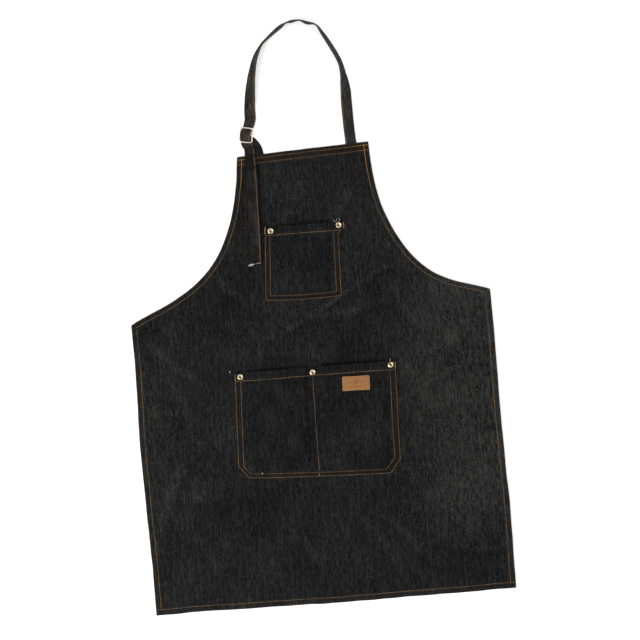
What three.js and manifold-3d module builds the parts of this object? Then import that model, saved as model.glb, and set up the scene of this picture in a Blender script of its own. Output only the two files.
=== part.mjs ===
// A denim bib apron laid flat, front up: x runs to the viewer's right, y from the hem to the neck,
// z out of the front. Sizes are in mm.
import * as THREE from 'three';
import { mergeVertices } from 'three/addons/utils/BufferGeometryUtils.js';
import Module from 'manifold-3d';

const wasm = await Module();
wasm.setup();

// Cloth
const cloth = 0.8;
const hemLayers = 3;
const hem = cloth * hemLayers;
const bodyWidth = 680;
const bodyLength = 854;
const sideHeight = 555;
const sideTilt = 9;
const bibLeft = new THREE.Vector2(-115.3, bodyLength - 4.3);
const bibRight = new THREE.Vector2(133, bodyLength + 4.4);
const bibLean = 7.5;
const armholeStart = new THREE.Vector2(62.4, 34.8);
const armholeEnd = new THREE.Vector2(15.1, 264.2);
const armholeSteps = 14;

// Turned hems and the thread rows that hold them
const hemWidth = { bottom: 12, side: 11.5, armhole: 10.5, bib: 18 };
const rowInset = { bottom: 10.5, side: 10, armhole: 9, bib: 16 };
const bibUpperRow = 6.5;
const thread = 0.8;
const threadHeight = 0.4;
const rowEndGap = 2;

// Pockets
const sewnBorder = 17.5;
const riseRun = 12;
const pocketLift = 5.2;
const outerRow = 1.6;
const mouthHem = 16;
const mouthRow = 15;
const dividerFlat = 7;

// Strap, tab and slider
const strapWidth = 20;
const strapThickness = 2;
const sewnEnd = { length: 17, thickness: 1.4 };
const notchClearance = 0.3;
const strapEdgeRow = strapWidth / 2 - 2;
const strapRowGap = 0.3;
const strapSteps = 4;
const tabWidth = strapWidth - 3;
const tabThickness = 1;
const wire = 1.3;
const restGap = 0.05;
const tailHeight = hem + threadHeight + 2 * restGap;
const wireGap = 0.1;
const sliderCentre = new THREE.Vector3(-94.4, bodyLength + 35, tailHeight + strapThickness + wire + wireGap);
const sliderTurn = THREE.MathUtils.degToRad(-10);
const sliderHalf = { width: strapWidth / 2 + 1.6, waist: strapWidth / 2 + 0.6, height: 13.2, corner: 3.2 };
const strapOverBar = wire + tabThickness + strapThickness / 2 + 4 * wireGap;
const strapUnderBar = wire + strapThickness / 2 + 2.5 * wireGap;

// Rivets
const cap = { radius: 5.75, height: 3.1, socket: 1.5 };
const post = 1.5;
const postClearance = 0.3;
const studFlange = { radius: 4.5, thickness: 1.1 };

// Label
const label = { width: 52.5, height: 27.8, thickness: 1.5, corner: 2.2, turn: -1.9, x: 73, up: 176.5 };
const labelGroove = { inset: 1.6, width: 0.8, depth: 0.3 };

const materials = {
  denim: new THREE.MeshStandardMaterial({ color: 0x202022, roughness: 0.95, metalness: 0 }),
  strapDenim: new THREE.MeshStandardMaterial({ color: 0x26262a, roughness: 0.95, metalness: 0 }),
  thread: new THREE.MeshStandardMaterial({ color: 0x7a5c34, roughness: 0.8, metalness: 0 }),
  brass: new THREE.MeshStandardMaterial({ color: 0xc9a560, roughness: 0.25, metalness: 1 }),
  nickel: new THREE.MeshStandardMaterial({ color: 0xd9c4b8, roughness: 0.2, metalness: 1 }),
  leather: new THREE.MeshStandardMaterial({ color: 0xb07a45, roughness: 0.7, metalness: 0 }),
};

const group = new THREE.Group();
group.name = 'denim_bib_apron';

function add(name, geometry, material) {
  const mesh = new THREE.Mesh(geometry, materials[material]);
  mesh.name = name;
  group.add(mesh);
}

// ---- solids ----

function weld(geometry) {
  const plain = geometry.clone();
  plain.deleteAttribute('normal');
  plain.deleteAttribute('uv');
  const welded = mergeVertices(plain, 1e-4);
  const kept = [];
  const index = welded.index.array;
  for (let i = 0; i < index.length; i += 3) {
    const [a, b, c] = [index[i], index[i + 1], index[i + 2]];
    if (a !== b && b !== c && c !== a) kept.push(a, b, c);
  }
  welded.setIndex(kept);
  welded.computeVertexNormals();
  return welded;
}

function solidOf(geometry) {
  const welded = weld(geometry);
  const vertProperties = new Float32Array(welded.attributes.position.array);
  const triVerts = new Uint32Array(welded.index.array);
  return new wasm.Manifold(new wasm.Mesh({ numProp: 3, vertProperties, triVerts }));
}

function geometryOf(solid) {
  const mesh = solid.getMesh();
  const geometry = new THREE.BufferGeometry();
  geometry.setAttribute('position', new THREE.BufferAttribute(new Float32Array(mesh.vertProperties), 3));
  geometry.setIndex(new THREE.BufferAttribute(new Uint32Array(mesh.triVerts), 1));
  geometry.computeVertexNormals();
  return geometry;
}

function slab(points, bottom, depth) {
  const geometry = new THREE.ExtrudeGeometry(new THREE.Shape(points), { depth, bevelEnabled: false });
  return geometry.translate(0, 0, bottom);
}

function turnedBox(width, length, depth, centre, bottom, angle) {
  const box = new THREE.BoxGeometry(width, length, depth);
  return box.rotateZ(angle).translate(centre.x, centre.y, bottom + depth / 2);
}

function upright(radius, bottom, top, at) {
  const rod = new THREE.CylinderGeometry(radius, radius, top - bottom, 20);
  return rod.rotateX(Math.PI / 2).translate(at.x, at.y, (bottom + top) / 2);
}

function turned(profile, at, bottom) {
  const points = profile.map(([r, z]) => new THREE.Vector2(r, z));
  return new THREE.LatheGeometry(points, 20).rotateX(Math.PI / 2).translate(at.x, at.y, bottom);
}

// ---- lines on the cloth ----

function lineCrossing(p, q) {
  const turn = p.along.cross(q.along);
  if (Math.abs(turn) < 1e-3) return q.at.clone();
  const t = q.at.clone().sub(p.at).cross(q.along) / turn;
  return p.at.clone().addScaledVector(p.along, t);
}

// Shifts every edge of a line to its left by that edge's distance, and joins the edges again.
function shifted(points, distanceOf, closed) {
  const count = points.length;
  const edges = closed ? count : count - 1;
  const lines = [];
  for (let i = 0; i < edges; i += 1) {
    const along = points[(i + 1) % count].clone().sub(points[i]).normalize();
    const left = new THREE.Vector2(-along.y, along.x);
    const at = points[i].clone().addScaledVector(left, distanceOf(i));
    lines.push({ at, along, left });
  }
  return points.map((point, i) => {
    if (!closed && i === 0) return lines[0].at;
    if (!closed && i === count - 1) return point.clone().addScaledVector(lines[i - 1].left, distanceOf(i - 1));
    return lineCrossing(lines[(i + edges - 1) % edges], lines[i]);
  });
}

function lengthened(points, first, last) {
  const out = points.map((p) => p.clone());
  const end = out.length - 1;
  const back = out[0].clone().sub(out[1]).normalize();
  const forward = out[end].clone().sub(out[end - 1]).normalize();
  out[0].addScaledVector(back, first);
  out[end].addScaledVector(forward, last);
  return out;
}

// A row of stitching: a flat run of thread lying on the cloth.
function threadRow(name, points, bottom) {
  const right = shifted(points, () => -thread / 2, false);
  const left = shifted(points, () => thread / 2, false).reverse();
  add(name, weld(slab([...right, ...left], bottom + restGap, threadHeight)), 'thread');
}

// ---- apron panel ----

function armhole(side, corner, bib) {
  const out = new THREE.Vector2(side * bodyWidth / 2, corner);
  const low = out.clone().add(new THREE.Vector2(-side * armholeStart.x, armholeStart.y));
  const high = bib.clone().add(new THREE.Vector2(side * armholeEnd.x - bibLean, -armholeEnd.y));
  return new THREE.CubicBezierCurve(out, low, high, bib).getPoints(armholeSteps);
}

const rightArmhole = armhole(1, sideHeight + sideTilt, bibRight);
const leftArmhole = armhole(-1, sideHeight - sideTilt, bibLeft).reverse();
const outline = [
  new THREE.Vector2(-bodyWidth / 2, 0),
  new THREE.Vector2(bodyWidth / 2, 0),
  ...rightArmhole,
  ...leftArmhole,
];
const bibEdge = 2 + armholeSteps;

function hemSide(edge) {
  if (edge === 0) return 'bottom';
  if (edge === 1 || edge === outline.length - 1) return 'side';
  return edge === bibEdge ? 'bib' : 'armhole';
}

const bibDirection = bibLeft.clone().sub(bibRight).normalize().negate();
const bibAngle = Math.atan2(bibDirection.y, bibDirection.x);
const bibDown = new THREE.Vector2(bibDirection.y, -bibDirection.x);

function onBibEdge(x) {
  return bibLeft.clone().addScaledVector(bibDirection, (x - bibLeft.x) / bibDirection.x);
}

const rightAnchor = onBibEdge(101);
const tabAnchor = onBibEdge(-75);
const innerHem = shifted(outline, (i) => hemWidth[hemSide(i)], true);
let panel = solidOf(slab(outline, 0, hem));
panel = panel.subtract(solidOf(slab(innerHem, -1, 1 + hem - cloth)));

function sewnEndAt(name, anchor, width) {
  const depth = hem - cloth;
  const notchLength = 2 * (hemWidth.bib + 3);
  const notch = turnedBox(width + 2 * notchClearance, notchLength, depth + 1, anchor, -1, bibAngle);
  panel = panel.subtract(solidOf(notch));
  const middle = anchor.clone().addScaledVector(bibDown, sewnEnd.length / 2 + 0.4);
  const bottom = depth - sewnEnd.thickness;
  add(name, weld(turnedBox(width, sewnEnd.length, sewnEnd.thickness, middle, bottom, bibAngle)), 'strapDenim');
}

sewnEndAt('strap_sewn_end', rightAnchor, strapWidth);
sewnEndAt('tab_sewn_end', tabAnchor, tabWidth);

// ---- pockets ----

// The side edges run from the bottom up, with the same share of the height at each knot.
const chestPocket = {
  knots: [0, 0.84, 0.9, 1],
  base: bodyLength - 283,
  left: [[-84, 2.5], [-76.4, 119.3], [-75.8, 127.7], [-75, 141.5]],
  right: [[61, 0], [67.4, 118.6], [74, 126.6], [75, 140.5]],
};
const lowerPocket = {
  knots: [0, 0.12, 0.9, 1],
  base: 229,
  left: [[-142.5, 13], [-161.3, 37.5], [-154.6, 194], [-154, 214.5]],
  right: [[125.5, 0], [146.2, 25], [151, 192], [152, 212.5]],
  middle: [[-8.9, 6.5], [-8.6, 31.3], [-7.3, 193], [-7.2, 213.5]],
  divider: 0.49,
};

function edgeAt(pocket, side, v) {
  const { knots } = pocket;
  let k = 0;
  while (k < knots.length - 2 && v > knots[k + 1]) k += 1;
  const t = (v - knots[k]) / (knots[k + 1] - knots[k]);
  const from = new THREE.Vector2(...pocket[side][k]);
  const at = from.lerp(new THREE.Vector2(...pocket[side][k + 1]), t);
  return at.setY(at.y + pocket.base);
}

function rise(distance, flat) {
  return THREE.MathUtils.smoothstep(distance, flat, flat + riseRun);
}

const riseStops = [0, 0.25, 0.5, 0.75, 1].map((share) => share * riseRun);

function pocketWidth(pocket) {
  return pocket.right[1][0] - pocket.left[1][0];
}

function pocketHeight(pocket) {
  return pocket.left[3][1] - pocket.left[0][1];
}

// A point of the pocket's front cloth: u runs across, v up; face 0 is its back and 1 its front.
function pocketPoint(pocket, u, v, face) {
  const left = edgeAt(pocket, 'left', v);
  const right = edgeAt(pocket, 'right', v);
  const width = pocketWidth(pocket);
  let lift = rise(Math.min(u, 1 - u) * width, sewnBorder) * rise(v * pocketHeight(pocket), sewnBorder);
  if (pocket.divider) lift *= rise(Math.abs(u - pocket.divider) * width, dividerFlat);
  const inMouth = v > 1 - mouthHem / pocketHeight(pocket) - 1e-6;
  const thickness = inMouth ? hem : cloth;
  const at = left.clone().lerp(right, u);
  if (pocket.divider) {
    const middle = edgeAt(pocket, 'middle', v);
    const [from, to] = u < pocket.divider ? [left, middle] : [middle, right];
    const share = u < pocket.divider ? u / pocket.divider : (u - pocket.divider) / (1 - pocket.divider);
    at.copy(from).lerp(to, share);
  }
  return new THREE.Vector3(at.x, at.y, hem + lift * pocketLift + face * thickness);
}

function acrossStops(pocket) {
  const width = pocketWidth(pocket);
  const border = riseStops.map((d) => (sewnBorder + d) / width);
  const stops = [0, ...border, ...border.map((u) => 1 - u), 1];
  const middle = pocket.divider;
  if (middle) {
    const valley = riseStops.map((d) => (dividerFlat + d) / width);
    stops.push(...valley.map((u) => middle - u), ...valley.map((u) => middle + u));
  }
  return stops.sort((a, b) => a - b);
}

function upStops(pocket) {
  const height = pocketHeight(pocket);
  const border = riseStops.map((d) => (sewnBorder + d) / height);
  const mouth = 1 - mouthHem / height;
  const corners = pocket.knots.filter((v) => v > 0 && v < 1);
  const stops = [0, ...border, ...corners, mouth - 0.3 / height, mouth, 1].sort((a, b) => a - b);
  return stops.filter((v, i) => i === 0 || v - stops[i - 1] > 1e-6);
}

// A box whose grid is moved to the stops, then laid over the pocket's shape.
function sheetOver(pocket, across, up, bottomFace, height) {
  const box = new THREE.BoxGeometry(1, 1, 1, across.length - 1, up.length - 1, 1);
  const position = box.attributes.position;
  for (let i = 0; i < position.count; i += 1) {
    const u = across[Math.round((position.getX(i) + 0.5) * (across.length - 1))];
    const v = up[Math.round((position.getY(i) + 0.5) * (up.length - 1))];
    const front = position.getZ(i) > 0;
    const point = pocketPoint(pocket, u, v, front && height === 0 ? 1 : bottomFace);
    if (front) point.z += height;
    position.setXYZ(i, point.x, point.y, point.z);
  }
  return box;
}

function sewnLine(pocket, top) {
  const reach = 1 - top / pocketHeight(pocket);
  const shares = pocket.knots.filter((v) => v < reach).reverse();
  const left = shares.map((v) => edgeAt(pocket, 'left', v));
  const right = shares.map((v) => edgeAt(pocket, 'right', v)).reverse();
  const rest = (reach - shares[0]) * pocketHeight(pocket);
  return lengthened([...left, ...right], rest, rest);
}

function makePocket(name, pocket, innerRow, rivets) {
  const across = acrossStops(pocket);
  const height = pocketHeight(pocket);
  let sheet = solidOf(sheetOver(pocket, across, upStops(pocket), 0, 0));
  rivets.forEach((at) => {
    sheet = sheet.subtract(solidOf(upright(post + postClearance, -1, 20, at)));
    panel = panel.subtract(solidOf(upright(post + postClearance, -1, 20, at)));
  });
  add(name, geometryOf(sheet), 'denim');
  const border = hem + cloth;
  const line = sewnLine(pocket, mouthHem + rowEndGap);
  threadRow(`${name}_outer_row`, shifted(line, () => outerRow, false), border);
  threadRow(`${name}_inner_row`, shifted(line, () => innerRow, false), border);
  const rowBand = [1 - (mouthRow + thread / 2) / height, 1 - (mouthRow - thread / 2) / height];
  const rowAcross = across.map((u) => THREE.MathUtils.clamp(u, 0.008, 0.992));
  const mouth = sheetOver(pocket, rowAcross, rowBand, 1, threadHeight);
  add(`${name}_mouth_row`, weld(mouth.translate(0, 0, restGap)), 'thread');
}

const chestRivets = { left: [-63.8, chestPocket.base + 134], right: [64.7, chestPocket.base + 134] };
const lowerRivets = {
  left: [-143.5, lowerPocket.base + 205.5],
  centre: [-7.2, lowerPocket.base + 205.3],
  right: [141.4, lowerPocket.base + 205.5],
};
const rivetPoints = (spots) => Object.values(spots).map(([x, y]) => new THREE.Vector2(x, y));
makePocket('chest_pocket', chestPocket, 10, rivetPoints(chestRivets));
makePocket('lower_pocket', lowerPocket, 11.5, rivetPoints(lowerRivets));

const dividerLine = [1 - (mouthHem + rowEndGap) / pocketHeight(lowerPocket), 0.12, 0.085].map((v) => {
  return edgeAt(lowerPocket, 'middle', v);
});
threadRow('lower_pocket_divider_row', dividerLine, hem + cloth);

// ---- hem rows ----

const rows = shifted(outline, (i) => rowInset[hemSide(i)], true);
const upper = shifted(outline, (i) => (i === bibEdge ? bibUpperRow : rowInset[hemSide(i)]), true);
const toEdge = rowInset.armhole - rowEndGap;
threadRow('bottom_hem_row', lengthened([rows[0], rows[1]], toEdge, toEdge), hem);
threadRow('right_side_row', lengthened([rows[1], rows[2]], -rowEndGap, -rowEndGap), hem);
threadRow('left_side_row', lengthened([rows[rows.length - 1], rows[0]], -rowEndGap, -rowEndGap), hem);
threadRow('right_armhole_row', lengthened(rows.slice(2, bibEdge + 1), 0, -rowEndGap), hem);
threadRow('left_armhole_row', lengthened(rows.slice(bibEdge + 1), -rowEndGap, 0), hem);
threadRow('bib_lower_row', lengthened([rows[bibEdge], rows[bibEdge + 1]], toEdge, toEdge), hem);
threadRow('bib_upper_row', lengthened([upper[bibEdge], upper[bibEdge + 1]], toEdge, toEdge), hem);
add('apron_panel', geometryOf(panel), 'denim');

// ---- rivets ----

function rivet(name, at) {
  const seat = 2 * hem;
  const capProfile = [
    [0, cap.socket], [post + postClearance, cap.socket], [post + postClearance, 0],
    [cap.radius - 0.2, 0], [cap.radius, 0.6], [5.2, 1.8], [4.1, 2.7], [2.9, cap.height],
    [2, 2.9], [1.2, 2.55], [0, 2.45],
  ];
  add(`${name}_cap`, geometryOf(solidOf(turned(capProfile, at, seat))), 'brass');
  const flangeTop = hem - cloth;
  const studProfile = [
    [0, flangeTop - studFlange.thickness], [studFlange.radius, flangeTop - studFlange.thickness],
    [studFlange.radius, flangeTop], [post, flangeTop], [post, seat + cap.socket - postClearance],
    [0, seat + cap.socket - postClearance],
  ];
  add(`${name}_stud`, geometryOf(solidOf(turned(studProfile, at, 0))), 'brass');
}

Object.entries(chestRivets).forEach(([side, [x, y]]) => rivet(`chest_rivet_${side}`, { x, y }));
Object.entries(lowerRivets).forEach(([side, [x, y]]) => rivet(`lower_rivet_${side}`, { x, y }));

// ---- leather label ----

function roundedPlate(inset) {
  const w = label.width / 2 - inset;
  const h = label.height / 2 - inset;
  const r = label.corner;
  const shape = new THREE.Shape();
  shape.moveTo(-w + r, -h);
  shape.lineTo(w - r, -h);
  shape.quadraticCurveTo(w, -h, w, -h + r);
  shape.lineTo(w, h - r);
  shape.quadraticCurveTo(w, h, w - r, h);
  shape.lineTo(-w + r, h);
  shape.quadraticCurveTo(-w, h, -w, h - r);
  shape.lineTo(-w, -h + r);
  shape.quadraticCurveTo(-w, -h, -w + r, -h);
  return shape.getPoints(6).slice(0, -1);
}

const grooveBottom = label.thickness - labelGroove.depth;
const grooveOuter = solidOf(slab(roundedPlate(labelGroove.inset), grooveBottom, 1));
const grooveInner = solidOf(slab(roundedPlate(labelGroove.inset + labelGroove.width), 0, 3));
const labelPlate = solidOf(slab(roundedPlate(0), 0, label.thickness)).subtract(grooveOuter.subtract(grooveInner));
const labelFace = hem + pocketLift + cloth;
const labelGeometry = geometryOf(labelPlate).rotateZ(THREE.MathUtils.degToRad(label.turn));
add('leather_label', labelGeometry.translate(label.x, lowerPocket.base + label.up, labelFace), 'leather');

// ---- slider ----

const barAxis = new THREE.Vector3(Math.cos(sliderTurn), Math.sin(sliderTurn), 0);
const sliderUp = new THREE.Vector3(-barAxis.y, barAxis.x, 0);

function onSlider(across, along, height) {
  const at = sliderCentre.clone().addScaledVector(barAxis, across).addScaledVector(sliderUp, along);
  return at.setZ(height);
}

function sliderWire() {
  const { width, waist, height, corner } = sliderHalf;
  const quarter = [
    [width - corner, height], [width - 0.7, height - 0.7], [width, height - corner],
    [(width + waist) / 2, height * 0.35],
  ];
  const down = [...quarter, [waist, 0], ...quarter.map(([b, s]) => [b, -s]).reverse()];
  const around = [...down, ...down.map(([b, s]) => [-b, -s])];
  const points = around.map(([b, s]) => onSlider(b, s, sliderCentre.z));
  return new THREE.TubeGeometry(new THREE.CatmullRomCurve3(points, true), 72, wire, 8, true);
}

const centreBar = new THREE.CylinderGeometry(wire, wire, 2 * sliderHalf.waist, 16).rotateZ(Math.PI / 2);
centreBar.rotateZ(sliderTurn).translate(sliderCentre.x, sliderCentre.y, sliderCentre.z);
add('slider', geometryOf(solidOf(sliderWire()).add(solidOf(centreBar))), 'nickel');

// ---- straps ----

// A knot of a strap's line: where it lies, how high its lower edge is, its lean in degrees and its width.
// y counts from the bib's top edge.
const knot = (x, y, bottom = 0, lean = 0, width = strapWidth) => ({ x, y: bodyLength + y, bottom, lean, width });

// over is the strap's share of the way up from under an outer bar to over the centre bar.
function sliderKnot(across, along, over, narrowing) {
  const at = onSlider(across, along, 0);
  const centre = sliderCentre.z + THREE.MathUtils.lerp(-strapUnderBar, strapOverBar, over);
  return knot(at.x, at.y - bodyLength, centre - strapThickness / 2, 0, strapWidth - narrowing);
}

// Bends a box along the first knots of a strap. part gives the box's size and its place in the cross-section.
function ribbon(knots, part, used = knots.length) {
  const path = new THREE.CatmullRomCurve3(knots.map((k) => new THREE.Vector3(k.x, k.y, k.bottom)));
  const set = new THREE.CatmullRomCurve3(knots.map((k) => new THREE.Vector3(k.lean, k.width, 0)));
  const box = new THREE.BoxGeometry(1, 1, 1, 1, 1, strapSteps * (used - 1));
  const position = box.attributes.position;
  const reach = (used - 1) / (knots.length - 1);
  for (let i = 0; i < position.count; i += 1) {
    const t = (position.getZ(i) + 0.5) * reach;
    const { x: lean, y: width } = set.getPoint(t);
    const turn = THREE.MathUtils.degToRad(lean);
    const along = path.getTangent(t);
    const level = new THREE.Vector3(0, 0, 1).cross(along).normalize();
    const face = along.clone().cross(level);
    const side = level.clone().multiplyScalar(Math.cos(turn)).addScaledVector(face, Math.sin(turn));
    const up = face.multiplyScalar(Math.cos(turn)).addScaledVector(level, -Math.sin(turn));
    const standing = (width * Math.abs(Math.sin(turn)) + strapThickness * Math.cos(turn)) / 2;
    const across = part.across + position.getX(i) * (part.width ?? width);
    const above = part.above + position.getY(i) * part.thickness;
    const point = path.getPoint(t).addScaledVector(side, across).addScaledVector(up, above);
    position.setXYZ(i, point.x, point.y, point.z + standing);
  }
  return box;
}

function strapPiece(name, knots) {
  add(name, weld(ribbon(knots, { across: 0, above: 0, thickness: strapThickness })), 'strapDenim');
}

function strapRow(name, knots, used) {
  const above = strapThickness / 2 + threadHeight / 2 + strapRowGap;
  const part = { across: strapEdgeRow, above, width: thread, thickness: threadHeight };
  add(name, weld(ribbon(knots, part, used)), 'thread');
}

const loop = [
  knot(rightAnchor.x, rightAnchor.y - bodyLength + 0.6),
  knot(100.9, 26), knot(100.6, 51), knot(99.8, 76, 0, 6), knot(99.4, 101, 0, 22),
  knot(99, 121, 0, 48), knot(98, 136, 0, 66), knot(91.5, 166, 0, 76), knot(76, 198, 0, 70),
  knot(62, 220, 0, 74), knot(52.4, 233, 0, 84), knot(38, 238.5, 0, 74), knot(22.7, 244, 0, 84),
  knot(8, 243.5, 0, 74), knot(-5, 241, 0, 84), knot(-27.8, 226, 0, 74), knot(-42, 214, 0, 77),
  knot(-53.5, 203, 0, 80), knot(-63, 188, 0, 66), knot(-72, 161, 0, 46), knot(-78.2, 131, 0, 24),
  knot(-82, 101, 0, 8), knot(-84.3, 78), knot(-86, 64, 1.2),
];
const outerBar = sliderHalf.height;
const weave = [
  sliderKnot(2.4, outerBar + 3.8, 0, 1), sliderKnot(1.2, outerBar, 0, 2),
  sliderKnot(0.9, outerBar - 3.2, 0.152, 2), sliderKnot(0.3, 5, 0.728, 2),
  sliderKnot(0, 0, 1, 2), sliderKnot(0, -5, 0.728, 2),
  sliderKnot(-0.3, 3.2 - outerBar, 0.152, 2), sliderKnot(-0.3, -outerBar, 0, 2),
  sliderKnot(0.6, -outerBar - 3.8, 0, 2),
  knot(-93.8, 12, tailHeight, 0, strapWidth - 1), knot(-91.9, 4, tailHeight, 0, strapWidth - 1),
  knot(-91.7, -1.4, tailHeight, 0, strapWidth - 1),
];
strapPiece('neck_strap', [...loop, ...weave]);
strapRow('neck_strap_row', [...loop, ...weave], loop.length);

const tail = [knot(-91.7, -2.4, tailHeight), knot(-92.6, -54, tailHeight), knot(-94.6, -103.7, tailHeight)];
const tailEnd = [
  knot(-94.65, -104.3, tailHeight), knot(-96.2, -157, tailHeight), knot(-98, -209, tailHeight),
];
strapPiece('strap_tail', tail);
strapRow('strap_tail_row', tail);
strapPiece('strap_tail_end', tailEnd);
strapRow('strap_tail_end_row', tailEnd);

// The tab runs up from the bib in two layers and wraps the slider's centre bar between them.
function tabGeometry() {
  const around = wire + tabThickness / 2 + 0.15;
  const bar = sliderCentre.z;
  const foot = new THREE.Vector2(tabAnchor.x, tabAnchor.y + 0.6).sub(sliderCentre);
  const footAcross = foot.x * barAxis.x + foot.y * barAxis.y;
  const footAlong = foot.x * sliderUp.x + foot.y * sliderUp.y;
  const line = [
    [footAcross, footAlong, 1.6], [16, -20, 1.6], [7, -12.5, 1.9], [1.8, -7.5, 3.5], [0.3, -4, 5.2],
    [0, -around, bar], [0, -0.72 * around, bar + 0.72 * around], [0, 0, bar + around],
    [0, 0.72 * around, bar + 0.72 * around], [0, around, bar], [0, 0.7 * around, bar - 0.8 * around],
    [0.1, -0.9, bar - 1.15 * around], [1.8, -5, 2.5], [7, -12.5, 0.55], [16, -20, 0.5],
    [footAcross, footAlong, 0.5],
  ];
  const path = new THREE.CatmullRomCurve3(line.map(([b, s, z]) => new THREE.Vector3(b, s, z)));
  const steps = 4 * (line.length - 1);
  const box = new THREE.BoxGeometry(tabWidth, 1, 1, 1, 1, steps);
  const position = box.attributes.position;
  for (let i = 0; i < position.count; i += 1) {
    const t = position.getZ(i) + 0.5;
    const at = path.getPoint(t);
    const along = path.getTangent(t);
    const outward = new THREE.Vector2(-along.z, along.y).normalize();
    const above = -position.getY(i) * tabThickness;
    const share = THREE.MathUtils.smoothstep(-at.y, 8, -footAlong);
    const spin = THREE.MathUtils.lerp(0, bibAngle - sliderTurn, share);
    const across = position.getX(i);
    const b = at.x - across * Math.cos(spin);
    const s = at.y - across * Math.sin(spin) - above * outward.x;
    const point = onSlider(b, s, at.z - above * outward.y);
    position.setXYZ(i, point.x, point.y, point.z);
  }
  return box;
}

add('slider_tab', weld(tabGeometry()), 'strapDenim');

// ---- place the apron over its own centre ----

const bounds = new THREE.Box3().setFromObject(group);
const middleY = (bounds.min.y + bounds.max.y) / 2;
group.children.forEach((mesh) => mesh.geometry.translate(0, -middleY, 0));

export default group;
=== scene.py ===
import math

import bmesh
import bpy
import numpy as np
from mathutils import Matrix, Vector


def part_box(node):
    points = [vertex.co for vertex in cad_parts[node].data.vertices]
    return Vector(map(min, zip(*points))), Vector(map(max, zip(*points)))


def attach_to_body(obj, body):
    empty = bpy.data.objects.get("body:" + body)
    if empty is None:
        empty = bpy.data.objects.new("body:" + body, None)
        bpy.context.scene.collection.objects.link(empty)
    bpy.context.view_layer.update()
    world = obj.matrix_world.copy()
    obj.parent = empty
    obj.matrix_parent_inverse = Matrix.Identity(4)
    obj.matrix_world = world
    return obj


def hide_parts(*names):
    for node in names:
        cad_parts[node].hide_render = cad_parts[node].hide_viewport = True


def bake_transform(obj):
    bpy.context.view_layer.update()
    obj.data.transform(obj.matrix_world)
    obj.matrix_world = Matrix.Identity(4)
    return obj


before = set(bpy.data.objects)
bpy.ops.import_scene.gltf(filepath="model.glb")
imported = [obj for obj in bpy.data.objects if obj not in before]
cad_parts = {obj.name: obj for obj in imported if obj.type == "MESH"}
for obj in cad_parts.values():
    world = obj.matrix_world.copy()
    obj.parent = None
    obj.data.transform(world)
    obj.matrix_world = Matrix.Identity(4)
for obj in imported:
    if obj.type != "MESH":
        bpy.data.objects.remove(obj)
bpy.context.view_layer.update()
scene = bpy.context.scene
scene.view_settings.view_transform = "Standard"

# The apron is laid out in millimetres: x from the body's middle, y up from the bottom hem, z out of the front.
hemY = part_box("apron_panel")[0].y
print("frame loaded, bottom hem at", round(hemY, 6))

# the camera looks straight down, turned a little
view = {"middle": (0.0156, -0.02097), "width": 1.2096, "height": 3.4, "turn": -4.75}
cameraData = bpy.data.cameras.new("camera")
cameraData.lens = cameraData.sensor_width * (view["height"] - 0.002) / view["width"]
cameraData.clip_end = 50
camera = bpy.data.objects.new("camera", cameraData)
scene.collection.objects.link(camera)
camera.location = (*view["middle"], view["height"])
camera.rotation_euler = (0, 0, math.radians(view["turn"]))
scene.camera = camera


def smooth(value, low, high):
    t = np.clip((np.asarray(value, float) - low) / (high - low), 0, 1)
    return t * t * (3 - 2 * t)


def bell(value, half):
    # 1 where the value is nothing, falling away to both sides
    return np.exp(-((value / half) ** 2))


noiseTables = {}
tableSize = 89


def hills(x, y, size, seed):
    # smooth random hills between -1 and 1, about size millimetres across
    if seed not in noiseTables:
        noiseTables[seed] = np.random.default_rng(seed).uniform(-1, 1, (tableSize, tableSize))
    table = noiseTables[seed]
    cellX, cellY = np.asarray(x, float) / size, np.asarray(y, float) / size
    ix, iy = np.floor(cellX).astype(int), np.floor(cellY).astype(int)
    fx, fy = smooth(cellX - ix, 0, 1), smooth(cellY - iy, 0, 1)
    ix, iy, nextX, nextY = ix % tableSize, iy % tableSize, (ix + 1) % tableSize, (iy + 1) % tableSize
    low = table[ix, iy] * (1 - fx) + table[nextX, iy] * fx
    high = table[ix, nextY] * (1 - fx) + table[nextX, nextY] * fx
    return low * (1 - fy) + high * fy


def makePiece(name, verts, faces, material, marks=None):
    mesh = bpy.data.meshes.new(name)
    mesh.from_pydata(np.asarray(verts).tolist(), [], [list(f) for f in faces])
    for key, values in (marks or {}).items():
        values = np.asarray(values, np.float32)
        kind = "FLOAT_VECTOR" if values.ndim == 2 else "FLOAT"
        mark = mesh.attributes.new(key, kind, "POINT")
        mark.data.foreach_set("vector" if values.ndim == 2 else "value", values.ravel())
    shape = bmesh.new()
    shape.from_mesh(mesh)
    bmesh.ops.recalc_face_normals(shape, faces=shape.faces)
    shape.to_mesh(mesh)
    shape.free()
    mesh.polygons.foreach_set("use_smooth", np.ones(len(mesh.polygons), bool))
    mesh.materials.append(material)
    piece = bpy.data.objects.new(name, mesh)
    scene.collection.objects.link(piece)
    return piece


def finishPiece(piece, attach, node=None):
    # a body's name, or a function to call on the piece; the CAD piece it stands for
    if callable(attach):
        attach(piece)
    else:
        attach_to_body(piece, attach)
    if node:
        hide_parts(node)
    return piece


def flatCloth(x, y, shape, shiftX=0.0, shiftY=0.0):
    # where each point lies on its cloth, in metres, for the weave
    return np.stack([np.broadcast_to(v, shape) for v in (x / 1000 + shiftX, y / 1000 + shiftY, 0.0)], -1)


def quadsOf(numbers):
    return np.stack([numbers[:-1, :-1], numbers[:-1, 1:], numbers[1:, 1:], numbers[1:, :-1]], -1).reshape(-1, 4)


def tubeFaces(rings, sides):
    # the faces of a tube of even rings, with its two ends closed
    number = np.arange(rings * sides).reshape(rings, sides)
    around = quadsOf(np.concatenate([number, number[:, :1]], 1))
    return [tuple(quad) for quad in around] + [tuple(number[0][::-1]), tuple(number[-1])]


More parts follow.
